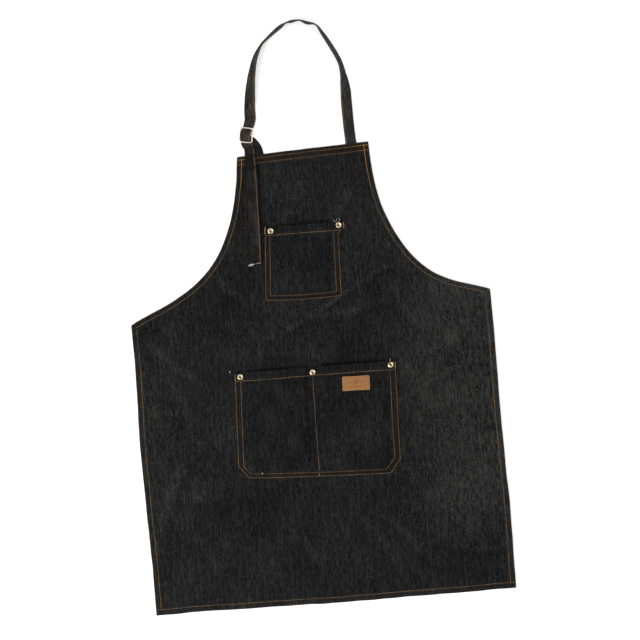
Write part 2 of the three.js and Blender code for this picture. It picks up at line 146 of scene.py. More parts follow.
def shell(name, front, back, material, marks):
    # two grids of points joined at their rims; each mark is a pair of grids
    rows, cols = front.shape[:2]
    upper = np.arange(rows * cols).reshape(rows, cols)
    inner = np.zeros((rows, cols), bool)
    inner[1:-1, 1:-1] = True
    lower = upper.copy()
    lower[inner] = rows * cols + np.arange(inner.sum())
    verts = np.vstack([front.reshape(-1, 3), back[inner]])
    joined = {key: np.concatenate([a.reshape(-1, *a.shape[2:]), b[inner]]) for key, (a, b) in marks.items()}
    faces = np.vstack([quadsOf(upper), quadsOf(lower)[:, ::-1]])
    return makePiece(name, verts, faces, material, joined)


def sweptTube(centres, radii, sides, closed=False):
    # a round tube along points; radii is one number or one for each point
    centres = np.asarray(centres, float)
    count = len(centres)
    radii = np.broadcast_to(np.asarray(radii, float), (count,))
    ahead = np.roll(centres, -1, 0) - np.roll(centres, 1, 0)
    if not closed:
        ahead[0], ahead[-1] = centres[1] - centres[0], centres[-1] - centres[-2]
    ahead /= np.linalg.norm(ahead, axis=1)[:, None]
    up = np.array([0, 0, 1.0])
    side = np.cross(ahead, up)
    weak = np.linalg.norm(side, axis=1) < 1e-6
    side[weak] = (1, 0, 0)
    side /= np.linalg.norm(side, axis=1)[:, None]
    top = np.cross(side, ahead)
    angles = np.arange(sides) * 2 * math.pi / sides
    ring = side[:, None] * np.cos(angles)[None, :, None] + top[:, None] * np.sin(angles)[None, :, None]
    verts = (centres[:, None] + ring * radii[:, None, None]).reshape(-1, 3)
    faces = []
    for i in range(count if closed else count - 1):
        j = (i + 1) % count
        for k in range(sides):
            m = (k + 1) % sides
            faces.append((i * sides + k, i * sides + m, j * sides + m, j * sides + k))
    if not closed:
        faces.append(tuple(range(sides))[::-1])
        faces.append(tuple((count - 1) * sides + k for k in range(sides)))
    return verts, faces


def startMaterial(name):
    material = bpy.data.materials.new(name)
    material.use_nodes = True
    tree = material.node_tree
    return material, tree, tree.nodes["Principled BSDF"]


def put(tree, socket, value):
    if hasattr(value, "links"):
        tree.links.new(value, socket)
    elif value is not None:
        socket.default_value = value


def mathOf(tree, operation, a, b=None, clamp=False):
    node = tree.nodes.new("ShaderNodeMath")
    node.operation = operation
    node.use_clamp = clamp
    put(tree, node.inputs[0], a)
    put(tree, node.inputs[1], b)
    return node.outputs[0]


def product(tree, a, b, clamp=False):
    return mathOf(tree, "MULTIPLY", a, b, clamp)


def total(tree, a, b):
    return mathOf(tree, "ADD", a, b)


def mixOf(tree, share, a, b):
    node = tree.nodes.new("ShaderNodeMix")
    node.data_type = "RGBA"
    put(tree, node.inputs["Factor"], share)
    put(tree, node.inputs[6], a)
    put(tree, node.inputs[7], b)
    return node.outputs[2]


def noiseOf(tree, at, scale, detail=2.0, roughness=0.55):
    # scale is one number, or one for each direction
    if isinstance(scale, tuple):
        stretch = tree.nodes.new("ShaderNodeVectorMath")
        stretch.operation = "MULTIPLY"
        put(tree, stretch.inputs[0], at)
        stretch.inputs[1].default_value = scale
        at, scale = stretch.outputs[0], 1.0
    node = tree.nodes.new("ShaderNodeTexNoise")
    put(tree, node.inputs["Vector"], at)
    node.inputs["Scale"].default_value = scale
    node.inputs["Detail"].default_value = detail
    node.inputs["Roughness"].default_value = roughness
    return node.outputs["Fac"]


def rangeOf(tree, value, low, high, toLow=0.0, toHigh=1.0):
    node = tree.nodes.new("ShaderNodeMapRange")
    put(tree, node.inputs["Value"], value)
    for socket, number in zip(node.inputs[1:5], (low, high, toLow, toHigh)):
        socket.default_value = number
    return node.outputs["Result"]


def ribsOf(tree, at, direction, pitch):
    # even ribs square to direction, -1 to 1
    dot = tree.nodes.new("ShaderNodeVectorMath")
    dot.operation = "DOT_PRODUCT"
    put(tree, dot.inputs[0], at)
    dot.inputs[1].default_value = direction
    return mathOf(tree, "SINE", product(tree, dot.outputs["Value"], 2 * math.pi / pitch))


def markOf(tree, name, output="Fac"):
    node = tree.nodes.new("ShaderNodeAttribute")
    node.attribute_name = name
    return node.outputs[output]


def bumpOf(tree, shader, height, distance, strength=1.0):
    node = tree.nodes.new("ShaderNodeBump")
    node.inputs["Strength"].default_value = strength
    node.inputs["Distance"].default_value = distance
    put(tree, node.inputs["Height"], height)
    tree.links.new(node.outputs["Normal"], shader.inputs["Normal"])


def denimCloth(name, look):
    material, tree, shader = startMaterial(name)
    at = markOf(tree, "clothAt", "Vector")
    fine = noiseOf(tree, at, (430, 78, 1), 3, 0.66)
    slubs = noiseOf(tree, at, (190, 20, 1), 2)
    mottle = noiseOf(tree, at, (400, 330, 1), 2, 0.7)
    broad = noiseOf(tree, at, look["broadScale"], 2)
    grain = noiseOf(tree, at, (1900, 1300, 1), 1)
    twill = ribsOf(tree, at, (0.9, -0.436, 0), look["twillPitch"])
    warp = ribsOf(tree, at, (1, 0, 0), look["yarnPitch"])
    flecks = product(tree, rangeOf(tree, grain, 0.52, 0.72), rangeOf(tree, twill, -0.2, 1))
    tone = product(tree, flecks, 0.4)
    for noise, low, high, part in (
        (fine, 0.45, 0.63, 0.52), (slubs, 0.46, 0.64, 0.3), (broad, 0.36, 0.64, 0.12), (mottle, 0.48, 0.64, 0.52),
    ):
        tone = total(tree, tone, product(tree, rangeOf(tree, noise, low, high), part))
    # this mark makes the cloth paler or darker: faded cloth, and on the apron panel also painted light and painted
    # shadow
    fadeAndShaded = total(tree, markOf(tree, "fadeAndShade"), 1.0)
    tone = product(tree, product(tree, tone, look["share"]), fadeAndShaded, True)
    cloth = mixOf(tree, tone, look["dark"], look["light"])
    cloth = mixOf(tree, product(tree, markOf(tree, "inside"), 0.5), cloth, look["back"])
    cloth = mixOf(tree, product(tree, markOf(tree, "deep"), 0.8, True), cloth, look["deep"])
    rubbing = rangeOf(tree, noiseOf(tree, at, 340, 3, 0.7), 0.3, 0.62)
    rub = product(tree, markOf(tree, "wear"), rubbing)
    cloth = mixOf(tree, product(tree, rub, look["rubbing"], True), cloth, look["rubbed"])
    put(tree, shader.inputs["Base Color"], cloth)
    put(tree, shader.inputs["Roughness"], rangeOf(tree, tone, 0, look["share"], 0.94, 0.8))
    shader.inputs["Specular IOR Level"].default_value = look["gloss"]
    shader.inputs["Sheen Weight"].default_value = look["sheen"]
    shader.inputs["Sheen Roughness"].default_value = 0.45
    ribs = total(tree, product(tree, twill, 0.5), product(tree, warp, 0.25))
    height = total(tree, ribs, product(tree, fine, 1.6))
    bumpOf(tree, shader, height, 0.00012, 0.8)
    return material


denimLook = {
    "dark": (0.0008, 0.0009, 0.0011, 1), "light": (0.0334, 0.0334, 0.0325, 1), "deep": (0.0085, 0.0045, 0.0026, 1),
    "back": (0.030, 0.030, 0.031, 1), "rubbed": (0.058, 0.040, 0.027, 1), "rubbing": 0.75,
    "share": 0.65, "broadScale": 8, "twillPitch": 0.00115, "yarnPitch": 0.00046, "gloss": 0.07, "sheen": 0.012,
}
pocketLook = dict(denimLook, light=(0.0280, 0.0283, 0.0295, 1), broadScale=12)
strapLook = dict(
    denimLook, dark=(0.0026, 0.0026, 0.0027, 1), light=(0.0590, 0.0560, 0.0515, 1), broadScale=30, rubbing=0.8,
    rubbed=(0.085, 0.056, 0.040, 1),
)
denim = denimCloth("blackDenim", denimLook)
pocketDenim = denimCloth("pocketDenim", pocketLook)
strapDenim = denimCloth("strapDenim", strapLook)


def threadMaterial():
    material, tree, shader = startMaterial("topstitchThread")
    place = tree.nodes.new("ShaderNodeTexCoord").outputs["Object"]
    patches = noiseOf(tree, place, 26, 2)
    ply = noiseOf(tree, place, 2600, 2)
    tone = markOf(tree, "threadTone")
    colour = mixOf(tree, rangeOf(tree, ply, 0.3, 0.7), (0.15, 0.082, 0.028, 1), (0.44, 0.265, 0.10, 1))
    dulled = mixOf(tree, rangeOf(tree, patches, 0.42, 0.66), colour, (0.15, 0.098, 0.060, 1))
    colour = mixOf(tree, product(tree, tone, 0.5, True), dulled, (0.055, 0.036, 0.024, 1))
    colour = mixOf(tree, product(tree, markOf(tree, "threadGold"), 0.85), colour, (0.56, 0.31, 0.075, 1))
    put(tree, shader.inputs["Base Color"], colour)
    shader.inputs["Roughness"].default_value = 0.62
    shader.inputs["Specular IOR Level"].default_value = 0.3
    bumpOf(tree, shader, ply, 0.0001, 0.7)
    return material


def metalMaterial(name, clean, dull, roughness, tarnishAndShade):
    material, tree, shader = startMaterial(name)
    place = tree.nodes.new("ShaderNodeTexCoord").outputs["Object"]
    cloudy = noiseOf(tree, place, 420, 4, 0.6)
    scuffs = noiseOf(tree, place, (5200, 700, 700), 2)
    colour = mixOf(tree, rangeOf(tree, cloudy, 0.42, 0.75), clean, dull)
    # darker where marked: tarnish in the hollows, and painted shade on one side of each rivet's dome
    put(tree, shader.inputs["Base Color"], mixOf(tree, markOf(tree, "tarnishAndShade"), colour, tarnishAndShade))
    shader.inputs["Metallic"].default_value = 1.0
    put(tree, shader.inputs["Roughness"], rangeOf(tree, scuffs, 0.35, 0.7, roughness, roughness + 0.16))
    bumpOf(tree, shader, scuffs, 0.00002, 0.5)
    return material


def leatherMaterial():
    material, tree, shader = startMaterial("labelLeather")
    at = markOf(tree, "clothAt", "Vector")
    pores = tree.nodes.new("ShaderNodeTexVoronoi")
    pores.feature = "DISTANCE_TO_EDGE"
    pores.inputs["Scale"].default_value = 1500
    put(tree, pores.inputs["Vector"], at)
    mottle = noiseOf(tree, at, 210, 4, 0.6)
    fibres = noiseOf(tree, at, 1400, 3)
    colour = mixOf(tree, rangeOf(tree, mottle, 0.3, 0.72), (0.215, 0.084, 0.020, 1), (0.320, 0.145, 0.042, 1))
    colour = mixOf(tree, product(tree, rangeOf(tree, fibres, 0.5, 0.75), 0.3), colour, (0.38, 0.21, 0.09, 1))
    colour = mixOf(tree, product(tree, markOf(tree, "pressed"), 0.75), colour, (0.11, 0.045, 0.015, 1))
    colour = mixOf(tree, product(tree, markOf(tree, "wear"), 0.6), colour, (0.44, 0.28, 0.15, 1))
    put(tree, shader.inputs["Base Color"], colour)
    put(tree, shader.inputs["Roughness"], rangeOf(tree, mottle, 0.3, 0.7, 0.5, 0.68))
    shader.inputs["Specular IOR Level"].default_value = 0.35
    height = total(tree, rangeOf(tree, pores.outputs["Distance"], 0.0, 0.12), product(tree, fibres, 0.6))
    bumpOf(tree, shader, height, 0.00006, 0.6)
    return material


def lintMaterial():
    material, tree, shader = startMaterial("looseThread")
    place = tree.nodes.new("ShaderNodeTexCoord").outputs["Object"]
    fibre = noiseOf(tree, place, 1800, 2)
    put(tree, shader.inputs["Base Color"], mixOf(tree, fibre, (0.30, 0.31, 0.32, 1), (0.72, 0.73, 0.73, 1)))
    shader.inputs["Roughness"].default_value = 0.85
    return material


thread = threadMaterial()
# clean, dull, roughness, and the dark colour for tarnish in the hollows and for painted shade
brass = metalMaterial("rivetBrass", (0.98, 0.82, 0.56, 1), (0.55, 0.36, 0.16, 1), 0.12, (0.035, 0.020, 0.008, 1))
nickel = metalMaterial("sliderNickel", (0.96, 0.82, 0.73, 1), (0.70, 0.54, 0.46, 1), 0.2, (0.05, 0.04, 0.035, 1))
leather = leatherMaterial()
lint = lintMaterial()
print("materials made")

# the body's outline; four points steer each armhole's curve
body = {
    "halfWidth": 340, "leftCorner": 546, "rightCorner": 564, "bibLeft": (-115.3, 849.7), "bibRight": (133, 858.4),
    "rightArmhole": ((340, 564), (277.6, 598.8), (140.6, 594.2), (133, 858.4)),
    "leftArmhole": ((-340, 546), (-277.6, 580.8), (-137.9, 585.5), (-115.3, 849.7)),
    "hem": 2.4, "cloth": 0.8,
}
hemWidth = {"bottom": 12, "side": 11.5, "armhole": 10.5, "bib": 18}
rowInset = {"bottom": 10.5, "side": 10, "armhole": 9, "bib": 16, "bibUpper": 6.5}


def bezier(points, count):
    a, b, c, d = (np.array(p, float) for p in points)
    t = np.linspace(0, 1, count)[:, None]
    return a * (1 - t) ** 3 + 3 * b * t * (1 - t) ** 2 + 3 * c * t * t * (1 - t) + d * t**3


rightArmhole = bezier(body["rightArmhole"], 181)
leftArmhole = bezier(body["leftArmhole"], 181)
bibLeft, bibRight = np.array(body["bibLeft"]), np.array(body["bibRight"])
bibAlong = (bibRight - bibLeft) / np.linalg.norm(bibRight - bibLeft)
bibDown = np.array([bibAlong[1], -bibAlong[0]])


def distanceTo(line, x, y):
    x, y = np.asarray(x, float), np.asarray(y, float)
    best = np.full(x.shape, 1e9)
    for a, b in zip(line[:-1], line[1:]):
        d = b - a
        t = np.clip(((x - a[0]) * d[0] + (y - a[1]) * d[1]) / (d @ d), 0, 1)
        best = np.minimum(best, np.hypot(x - a[0] - t * d[0], y - a[1] - t * d[1]))
    return best


def edgeGaps(x, y):
    # how far each point lies from the bottom, side, armhole and bib edges
    x, y = np.asarray(x, float), np.asarray(y, float)
    bib = (x - bibLeft[0]) * bibDown[0] + (y - bibLeft[1]) * bibDown[1]
    arm = np.minimum(distanceTo(rightArmhole[::6], x, y), distanceTo(leftArmhole[::6], x, y))
    side = body["halfWidth"] - np.abs(x)
    return {"bottom": y, "side": side, "armhole": arm, "bib": bib}


def hemShare(gaps):
    # 1 on a turned hem, 0 on the single cloth inside it
    share = np.zeros(np.shape(gaps["bottom"]))
    for key, gap in gaps.items():
        share = np.maximum(share, 1 - smooth(gap, hemWidth[key] - 0.4, hemWidth[key] + 1.8))
    return share


# soft folds that cross the cloth: from, to, half width, height
folds = [
    ((-90, 505), (165, 617), 7, 1.5), ((-20, 520), (120, 560), 11, 1.1), ((140, 372), (345, 436), 8, 1.5),
    ((190, 330), (345, 372), 10, 1.3), ((235, 232), (345, 176), 9, 1.5), ((250, 300), (345, 276), 12, 1.2),
    ((-322, 532), (-215, 408), 13, 1.3), ((-300, 470), (-225, 300), 16, 1.1), ((56, 140), (140, 44), 10, 1.0),
    ((-250, 130), (-190, 52), 11, 1.0), ((-70, 160), (-20, 40), 14, 0.8), ((150, 600), (205, 500), 12, 1.1),
    ((-180, 640), (-120, 570), 12, 0.9), ((-335, 360), (-240, 385), 10, 0.9), ((20, 640), (110, 790), 16, 0.7),
    ((180, 110), (330, 70), 12, 1.0), ((-335, 240), (-200, 205), 12, 0.9), ((-120, 470), (40, 452), 9, 0.8),
    ((-330, 90), (-250, 300), 15, 1.0), ((205, 445), (330, 520), 12, 1.2), ((90, 150), (210, 60), 11, 0.9),
]
lieOf = {
    "sag": 0.75, "swell": 2.4, "swellSize": 78, "fine": 0.45, "fineSize": 26, "fold": 0.95, "sway": 0.7, "swaySize": 92,
    "smallSway": 0.35, "smallSwaySize": 23,
}
# where the strap's free end hangs: its middle and its right side at the height top, and how each drifts going down
tailLie = {"top": 850, "middle": -90.4, "drift": 0.0237, "side": -81.5, "sideDrift": 0.022, "rest": 0.6}
pocketMouths = (((-76, 712.5), (76, 711.5)), ((-155, 443.5), (153, 441.5)))


def foldLines(x, y):
    # each soft fold's share, how far across it a point lies, and its height
    for start, end, half, height in folds:
        a, d = np.array(start, float), np.subtract(end, start).astype(float)
        along = ((x - a[0]) * d[0] + (y - a[1]) * d[1]) / (d @ d)
        bend = 9 * np.sin(along * 4.1 + half)
        across = ((x - a[0]) * -d[1] + (y - a[1]) * d[0]) / math.sqrt(d @ d) + bend
        yield smooth(along, -0.08, 0.3) * (1 - smooth(along, 0.72, 1.12)), across / half, height


def lift(x, y):
    # how far the cloth rises from lying flat; single cloth settles between the thick hems
    x, y = np.asarray(x, float), np.asarray(y, float)
    rise = lieOf["swell"] * (hills(x, y, lieOf["swellSize"], 3) * 0.5 + 0.5)
    rise = rise + lieOf["fine"] * (hills(x, y * 0.7, lieOf["fineSize"], 5) * 0.5 + 0.5)
    for share, across, height in foldLines(x, y):
        rise = rise + lieOf["fold"] * height * share * bell(across, 1)
    # the cloth is flat where the strap's free end lies and slides
    track = tailLie["middle"] + (y - tailLie["top"]) * tailLie["drift"]
    flatStrip = (1 - smooth(np.abs(x - track), 16, 40)) * smooth(y, 484, 512)
    rise = rise + (tailLie["rest"] - rise) * flatStrip
    calm = 1 - 0.55 * smooth(y, 838, 856)  # the stiff hem at the bib's top
    return rise * calm - lieOf["sag"] * (1 - hemShare(edgeGaps(x, y)))


def paintedShadowAt(x, y):
    # painted shadow: dark over the pocket mouths, where the raised mouths' shade falls, and beside the hanging strap,
    # where its shadow falls
    deep = np.zeros(np.shape(x))
    # painted shadow in a narrow band just above each pocket's mouth
    for left, right in pocketMouths:
        line = left[1] + (x - left[0]) * (right[1] - left[1]) / (right[0] - left[0])
        within = smooth(x, left[0] - 4, left[0] + 6) * (1 - smooth(x, right[0] - 6, right[0] + 4))
        deep = np.maximum(deep, 0.25 * within * bell(y - line - 1.2, 1.8))
    # painted shadow in a band along the hanging strap's right side
    side = tailLie["side"] + (y - tailLie["top"]) * tailLie["sideDrift"]
    beside = bell(x - side - 4, 5.5) * smooth(y, 640, 665)
    return np.clip(np.maximum(deep, 0.4 * beside), 0, 1)


def fadeAndShadeAt(x, y):
    # how much paler or darker the cloth is drawn: paler towards the sides, most on the right, with random patches;
    # along each fold lighter on the crest, partly rubbed cloth and partly painted light, and darker beside it as
    # painted shade; darker again under the painted shadow
    fadeAndShade = 0.85 * smooth(x, 120, 270) * smooth(y, 40, 220) + 0.16 * smooth(-x, 170, 310) * smooth(y, 40, 200)
    slanted = hills((0.8 * x - 0.6 * y) * 0.9, (0.6 * x + 0.8 * y) * 0.35, 34, 92)
    fadeAndShade = fadeAndShade + 0.2 * hills(x, y, 62, 91) + 0.16 * slanted - 0.05
    for share, across, height in foldLines(x, y):
        # painted light just past each fold's crest, together with rubbed cloth, and painted shade on its far side
        ridge = bell(across - 0.3, 0.6) - 0.45 * bell(across + 0.95, 0.6)
        fadeAndShade = fadeAndShade + 0.42 * height * share * ridge
    # the painted shadow darkens the cloth further
    return np.clip(fadeAndShade - 1.5 * paintedShadowAt(x, y), -0.92, 1.0)


# where the cloth was cut or has stretched a few millimetres off its true outline: at x, y, by dx, dy
pulls = np.array([
    (340, 0, 3.6, -5.6), (340, 86, 4.9, 0), (340, 152, 6.2, 0), (340, 218, 3.2, 0), (340, 284, 1.9, 0),
    (340, 350, 0.9, 0), (340, 417, 2.2, 0), (340, 483, 2.0, 0), (340, 555, 3.3, 1.0), (-340, 0, 1.5, -2.8),
    (-340, 72, 1.8, 0), (-340, 125, 0.8, 0), (-340, 177, -1.0, 0), (-340, 230, -1.5, 0), (-340, 282, -3.4, 0),
    (-340, 335, -4.2, 0), (-340, 387, -2.3, 0), (-340, 440, 0, 0), (-340, 500, 0, 0.8), (-244, 0, 0, -1.2),
    (-162, 0, 0, -2.2), (-81, 0, 0, -4.4), (0, 0, 0, -7.0), (81, 0, 0, -7.0), (162, 0, 0, -5.5), (244, 0, 0, -7.0),
    (308, 578, -2.0, -5.6), (282, 587, -2.6, -6.8), (256, 599, -3.6, -7.4), (229, 615, -4.4, -6.6),
    (203, 637, -1.4, -1.4), (180, 667, 1.7, 1.1), (160, 706, 0.3, 0), (144, 757, -1.0, -0.2), (135, 821, 1.5, 0.4),
    (-330, 551, -0.9, 2.2), (-307, 561, -1.6, 4.2), (-282, 571, -2.3, 5.4), (-254, 584, -3.2, 6.0),
    (-226, 601, -3.3, 4.8), (-199, 624, -2.0, 2.0), (-174, 655, -1.0, 0.7), (-151, 696, 0.4, -0.2),
    (-133, 747, 0.9, -0.2), (-119, 812, 0, 0),
])
pullReach = {"size": 34, "rest": 0.12}


def pulled(x, y):
    # the share of every pull at a point, weakening away from the edge
    near = np.zeros(np.shape(x))
    dx, dy = np.zeros(np.shape(x)), np.zeros(np.shape(x))
    for atX, atY, byX, byY in pulls:
        weight = np.exp(-((x - atX) ** 2 + (y - atY) ** 2) / (2 * pullReach["size"] ** 2))
        near, dx, dy = near + weight, dx + weight * byX, dy + weight * byY
    return dx / (near + pullReach["rest"]), dy / (near + pullReach["rest"])


def lay(x, y, z):
    # from the apron's millimetres to the frame's metres, with the cloth's lift and sideways wander
    # the strap's loop, past the bib, keeps its own shape
    x, y, z = np.broadcast_arrays(np.asarray(x, float), np.asarray(y, float), np.asarray(z, float))
    hold = 1 - smooth(y, 856, 874)
    dx, dy = pulled(x, y)
    for sway, size, seedX in ((lieOf["sway"], lieOf["swaySize"], 11), (lieOf["smallSway"], lieOf["smallSwaySize"], 12)):
        dx = dx + sway * hills(x, y, size, seedX)
        dy = dy + sway * hills(x, y, size, seedX + 2)
    return np.stack([(x + dx * hold) / 1000, (y + dy * hold) / 1000 + hemY, (z + lift(x, y) * hold) / 1000], -1)


def layPoints(points):
    return lay(points[..., 0], points[..., 1], points[..., 2])


# where the panel's grid is dense, as distances in from its edges
panel = {
    "edgeStops": [0, 0.5, 1.2, 2.4, 4.2, 6.2, 8.2, 9.2, 10, 10.8, 11.6, 12.6, 14, 16.5],
    "bibStops": [0, 0.5, 1.2, 2.6, 4.2, 5.6, 6.5, 7.4, 9.4, 11.6, 13.6, 15.2, 16, 16.8, 17.8, 18.8, 20.2, 22.5],
    "middleColumns": 150, "sideRows": 130, "armholeRows": 96,
}


def alongLine(line, distances):
    steps = np.r_[0, np.cumsum(np.linalg.norm(np.diff(line, axis=0), axis=1))]
    return np.stack([np.interp(distances, steps, line[:, k]) for k in (0, 1)], -1), steps[-1]


def sidePoints(armhole, corner, side):
    # points up one side, close together in the hems
    low = np.array(panel["edgeStops"])
    high = np.array(panel["bibStops"])
    straight = np.r_[low, np.linspace(low[-1], corner, panel["sideRows"])[1:]]
    length = alongLine(armhole, [0])[1]
    curved = np.r_[np.linspace(0, length - high[-1], panel["armholeRows"])[1:], (length - high[::-1])[1:]]
    lower = np.stack([np.full(len(straight), side * body["halfWidth"]), straight], -1)
    return np.vstack([lower, alongLine(armhole, curved)[0]])


def panelGrid():
    left = sidePoints(leftArmhole, body["leftCorner"], -1)
    right = sidePoints(rightArmhole, body["rightCorner"], 1)
    stops = np.array(panel["edgeStops"])
    across = right - left
    width = np.linalg.norm(across, axis=1)
    across /= width[:, None]
    rows = []
    for k in range(len(left)):
        lines = []
        for side in (left, right):
            ahead = side[min(k + 1, len(side) - 1)] - side[max(k - 1, 0)]
            square = abs(ahead[0] * across[k][1] - ahead[1] * across[k][0]) / np.linalg.norm(ahead)
            lines.append(stops / max(square, 0.36))
        middle = np.linspace(lines[0][-1], width[k] - lines[1][-1], panel["middleColumns"])[1:-1]
        gaps = np.r_[lines[0], middle, width[k] - lines[1][::-1]]
        rows.append(left[k] + gaps[:, None] * across[k])
    return np.array(rows)


def rim(gap, reach=1.3):
    return np.sqrt(np.clip(1 - (1 - np.clip(gap / reach, 0, 1)) ** 2, 0, 1))


# where the strap's and the tab's sewn ends lie behind the bib: x, y, width; and how thick the cloth is over them
anchors = {"right": (101.0, 857.28, 20), "tab": (-72.6, 851.16, 17)}
notchTop = 1.58


def notchShare(x, y):
    # 1 where a strap's sewn end lies behind the bib hem
    share = np.zeros(np.shape(x))
    for ax, ay, width in anchors.values():
        along = (x - ax) * bibAlong[0] + (y - ay) * bibAlong[1]
        down = (x - ax) * bibDown[0] + (y - ay) * bibDown[1]
        inside = (1 - smooth(np.abs(along), width / 2 - 0.2, width / 2 + 1.2)) * (1 - smooth(down, 17.6, 19.5))
        share = np.maximum(share, inside)
    return share


def makePanel():
    grid = panelGrid()
    x, y = grid[..., 0], grid[..., 1]
    gaps = edgeGaps(x, y)
    nearest = np.minimum.reduce(list(gaps.values()))
    turned = hemShare(gaps)
    ripple = 0.3 * turned * hills(x + y, y - x, 13, 21) * smooth(nearest, 1, 6)
    dips = np.zeros(x.shape)
    for key, row in (*((key, key) for key in gaps), ("bib", "bibUpper")):
        dips = dips + 0.32 * bell(gaps[key] - rowInset[row], 0.9)
    top = body["hem"] + ripple - np.clip(dips, 0, 0.34)
    under = (body["hem"] - body["cloth"]) * (1 - turned)
    under = np.maximum(under, notchTop * notchShare(x, y))
    middle = (top + under) / 2
    rounded = rim(nearest)
    front = lay(x, y, middle + (top - middle) * rounded)
    back = lay(x, y, middle + (under - middle) * rounded)
    flat = flatCloth(x, y, x.shape)
    worn = 0.95 * bell(nearest, 1.7) + 0.22 * turned
    for key in gaps:
        worn = worn + 0.28 * bell(gaps[key] - hemWidth[key], 1.1)
    worn = np.clip(worn * (0.8 + 0.45 * hills(x, y, 21, 33)), 0, 1)
    corner = bell(np.hypot(x + 112, y - 845), 13) + 0.6 * bell(np.hypot(x - 129, y - 853), 11)
    worn = np.clip(worn + 0.45 * corner, 0, 1)
    nothing = np.zeros(x.shape)
    bibBand = smooth(gaps["bib"], 1.2, 3.0) * (1 - smooth(gaps["bib"], 15.5, 18.5))
    marks = {
        "clothAt": (flat, flat), "wear": (worn, worn * 0.6), "inside": (nothing, 1 - turned),
        "deep": (0.75 * bibBand, 0.225 * bibBand), "fadeAndShade": (fadeAndShadeAt(x, y), nothing),
    }
    return shell("apron_cloth", front, back, denim, marks)


apronCloth = finishPiece(makePanel(), "apron", "apron_panel")
print("apron cloth laid,", len(apronCloth.data.polygons), "faces")


stitch = {"length": 2.75, "gap": 1.0, "halfWidth": 0.5, "halfHeight": 0.32, "sink": 0.12}


def stitchMesh(name, starts, ends, ups, size=1.0, tones=None, gold=None):
    # one slim bead of thread for each stitch, its ends sinking into the cloth; everything in metres
    starts, ends, ups = (np.asarray(v, float) for v in (starts, ends, ups))
    stations = np.array([-1, -0.86, -0.45, 0.45, 0.86, 1.0])
    swell = np.array([0.12, 0.62, 1, 1, 0.62, 0.12])
    sink = np.array([-0.55, -0.2, 0.05, 0.05, -0.2, -0.55])
    turns = np.arange(6) * math.pi / 3 + 0.3
    middle, half = (starts + ends) / 2, (ends - starts) / 2
    side = np.cross(ups, half)
    side /= np.linalg.norm(side, axis=1)[:, None]
    wide = stitch["halfWidth"] * size / 1000
    tall = stitch["halfHeight"] * size / 1000
    verts = (
        middle[:, None, None] + half[:, None, None] * stations[None, :, None, None]
        + side[:, None, None] * (wide * swell[:, None] * np.cos(turns)[None])[None, ..., None]
        + ups[:, None, None] * (tall * (swell[:, None] * np.sin(turns)[None] + sink[:, None]))[None, ..., None]
    )
    count, rings, sides = len(starts), len(stations), len(turns)
    one = tubeFaces(rings, sides)
    faces = [tuple(i + k * rings * sides for i in face) for k in range(count) for face in one]
    if tones is None:
        tones = np.random.default_rng(len(name) * 7 + count).uniform(0, 1, count)
    gold = np.zeros(count) if gold is None else gold
    marks = {"threadTone": np.repeat(tones, rings * sides), "threadGold": np.repeat(gold, rings * sides)}
    return makePiece(name, verts.reshape(-1, 3), faces, thread, marks)


def stitchEnds(legs, height):
    # start and end of every stitch along each leg, laid on the apron
    pitch = stitch["length"] + stitch["gap"]
    starts, ends = [], []
    for leg in legs:
        leg = np.asarray(leg, float)
        length = alongLine(leg, [0])[1]
        count = max(1, round(length / pitch))
        begin = np.arange(count) * length / count + stitch["gap"] / 2
        finish = begin + length / count - stitch["gap"]
        for at, out in ((begin, starts), (finish, ends)):
            p = alongLine(leg, at)[0] + 0.12 * hills(at, at * 0, 9, 41)[:, None]
            out.append(lay(p[:, 0], p[:, 1], height))
    return np.vstack(starts), np.vstack(ends)


def sewRow(name, legs, top, under, node, dull=0.0):
    # a row of lockstitch through the cloth, brighter towards the top corners of the bib
    starts, ends = stitchEnds(legs, top)
    up = np.tile([0, 0, 1.0], (len(starts), 1))
    backStarts, backEnds = stitchEnds(legs, under)
    shift = (ends - starts) * 0.5
    starts = np.vstack([starts, backStarts + shift])
    ends = np.vstack([ends, backEnds + shift])
    x, y = starts[:, 0] * 1000, (starts[:, 1] - hemY) * 1000
    gold = smooth(y, 762, 815) * np.maximum(smooth(-x, 88, 100), smooth(x, 104, 118)) * (1 - dull)
    tones = np.random.default_rng(len(name) * 7 + len(x)).uniform(0, 1, len(x)) + 1.4 * dull
    row = stitchMesh(name, starts, ends, np.vstack([up, -up]), 1.0, tones, gold)
    finishPiece(row, "apron", node)


def inset(line, distance):
    # a line moved to its left by one distance
    line = np.asarray(line, float)
    ahead = np.gradient(line, axis=0)
    ahead /= np.linalg.norm(ahead, axis=1)[:, None]
    return line + distance * np.stack([-ahead[:, 1], ahead[:, 0]], -1)


def straight(a, b, spacing=2.0):
    a, b = np.array(a, float), np.array(b, float)
    count = max(2, int(np.linalg.norm(b - a) / spacing))
    return a + (b - a) * np.linspace(0, 1, count)[:, None]


def sewHem(name, line, dull=0.0):
    sewRow(name + "_stitches", [line], body["hem"] - stitch["sink"], stitch["sink"], name + "_row", dull)


def sewBib(name, down, dull=0.0):
    across = bibDown * down
    sewHem(name, straight(bibLeft + across + bibAlong * 1.6, bibRight + across - bibAlong * 1.6), dull)


sewHem("bottom_hem", straight((-338, 10.5), (338, 10.5)))
sewHem("right_side", straight((330, 9), (330, 556)))
sewHem("left_side", straight((-330, 9), (-330, 538)))
rightLine = inset(rightArmhole, rowInset["armhole"])
leftLine = inset(leftArmhole, -rowInset["armhole"])
sewHem("right_armhole", rightLine[rightLine[:, 0] < 331][:-1])
sewHem("left_armhole", leftLine[leftLine[:, 0] > -331][:-1])
sewBib("bib_lower", rowInset["bib"], 0.55)
sewBib("bib_upper", rowInset["bibUpper"])
print("hems stitched")

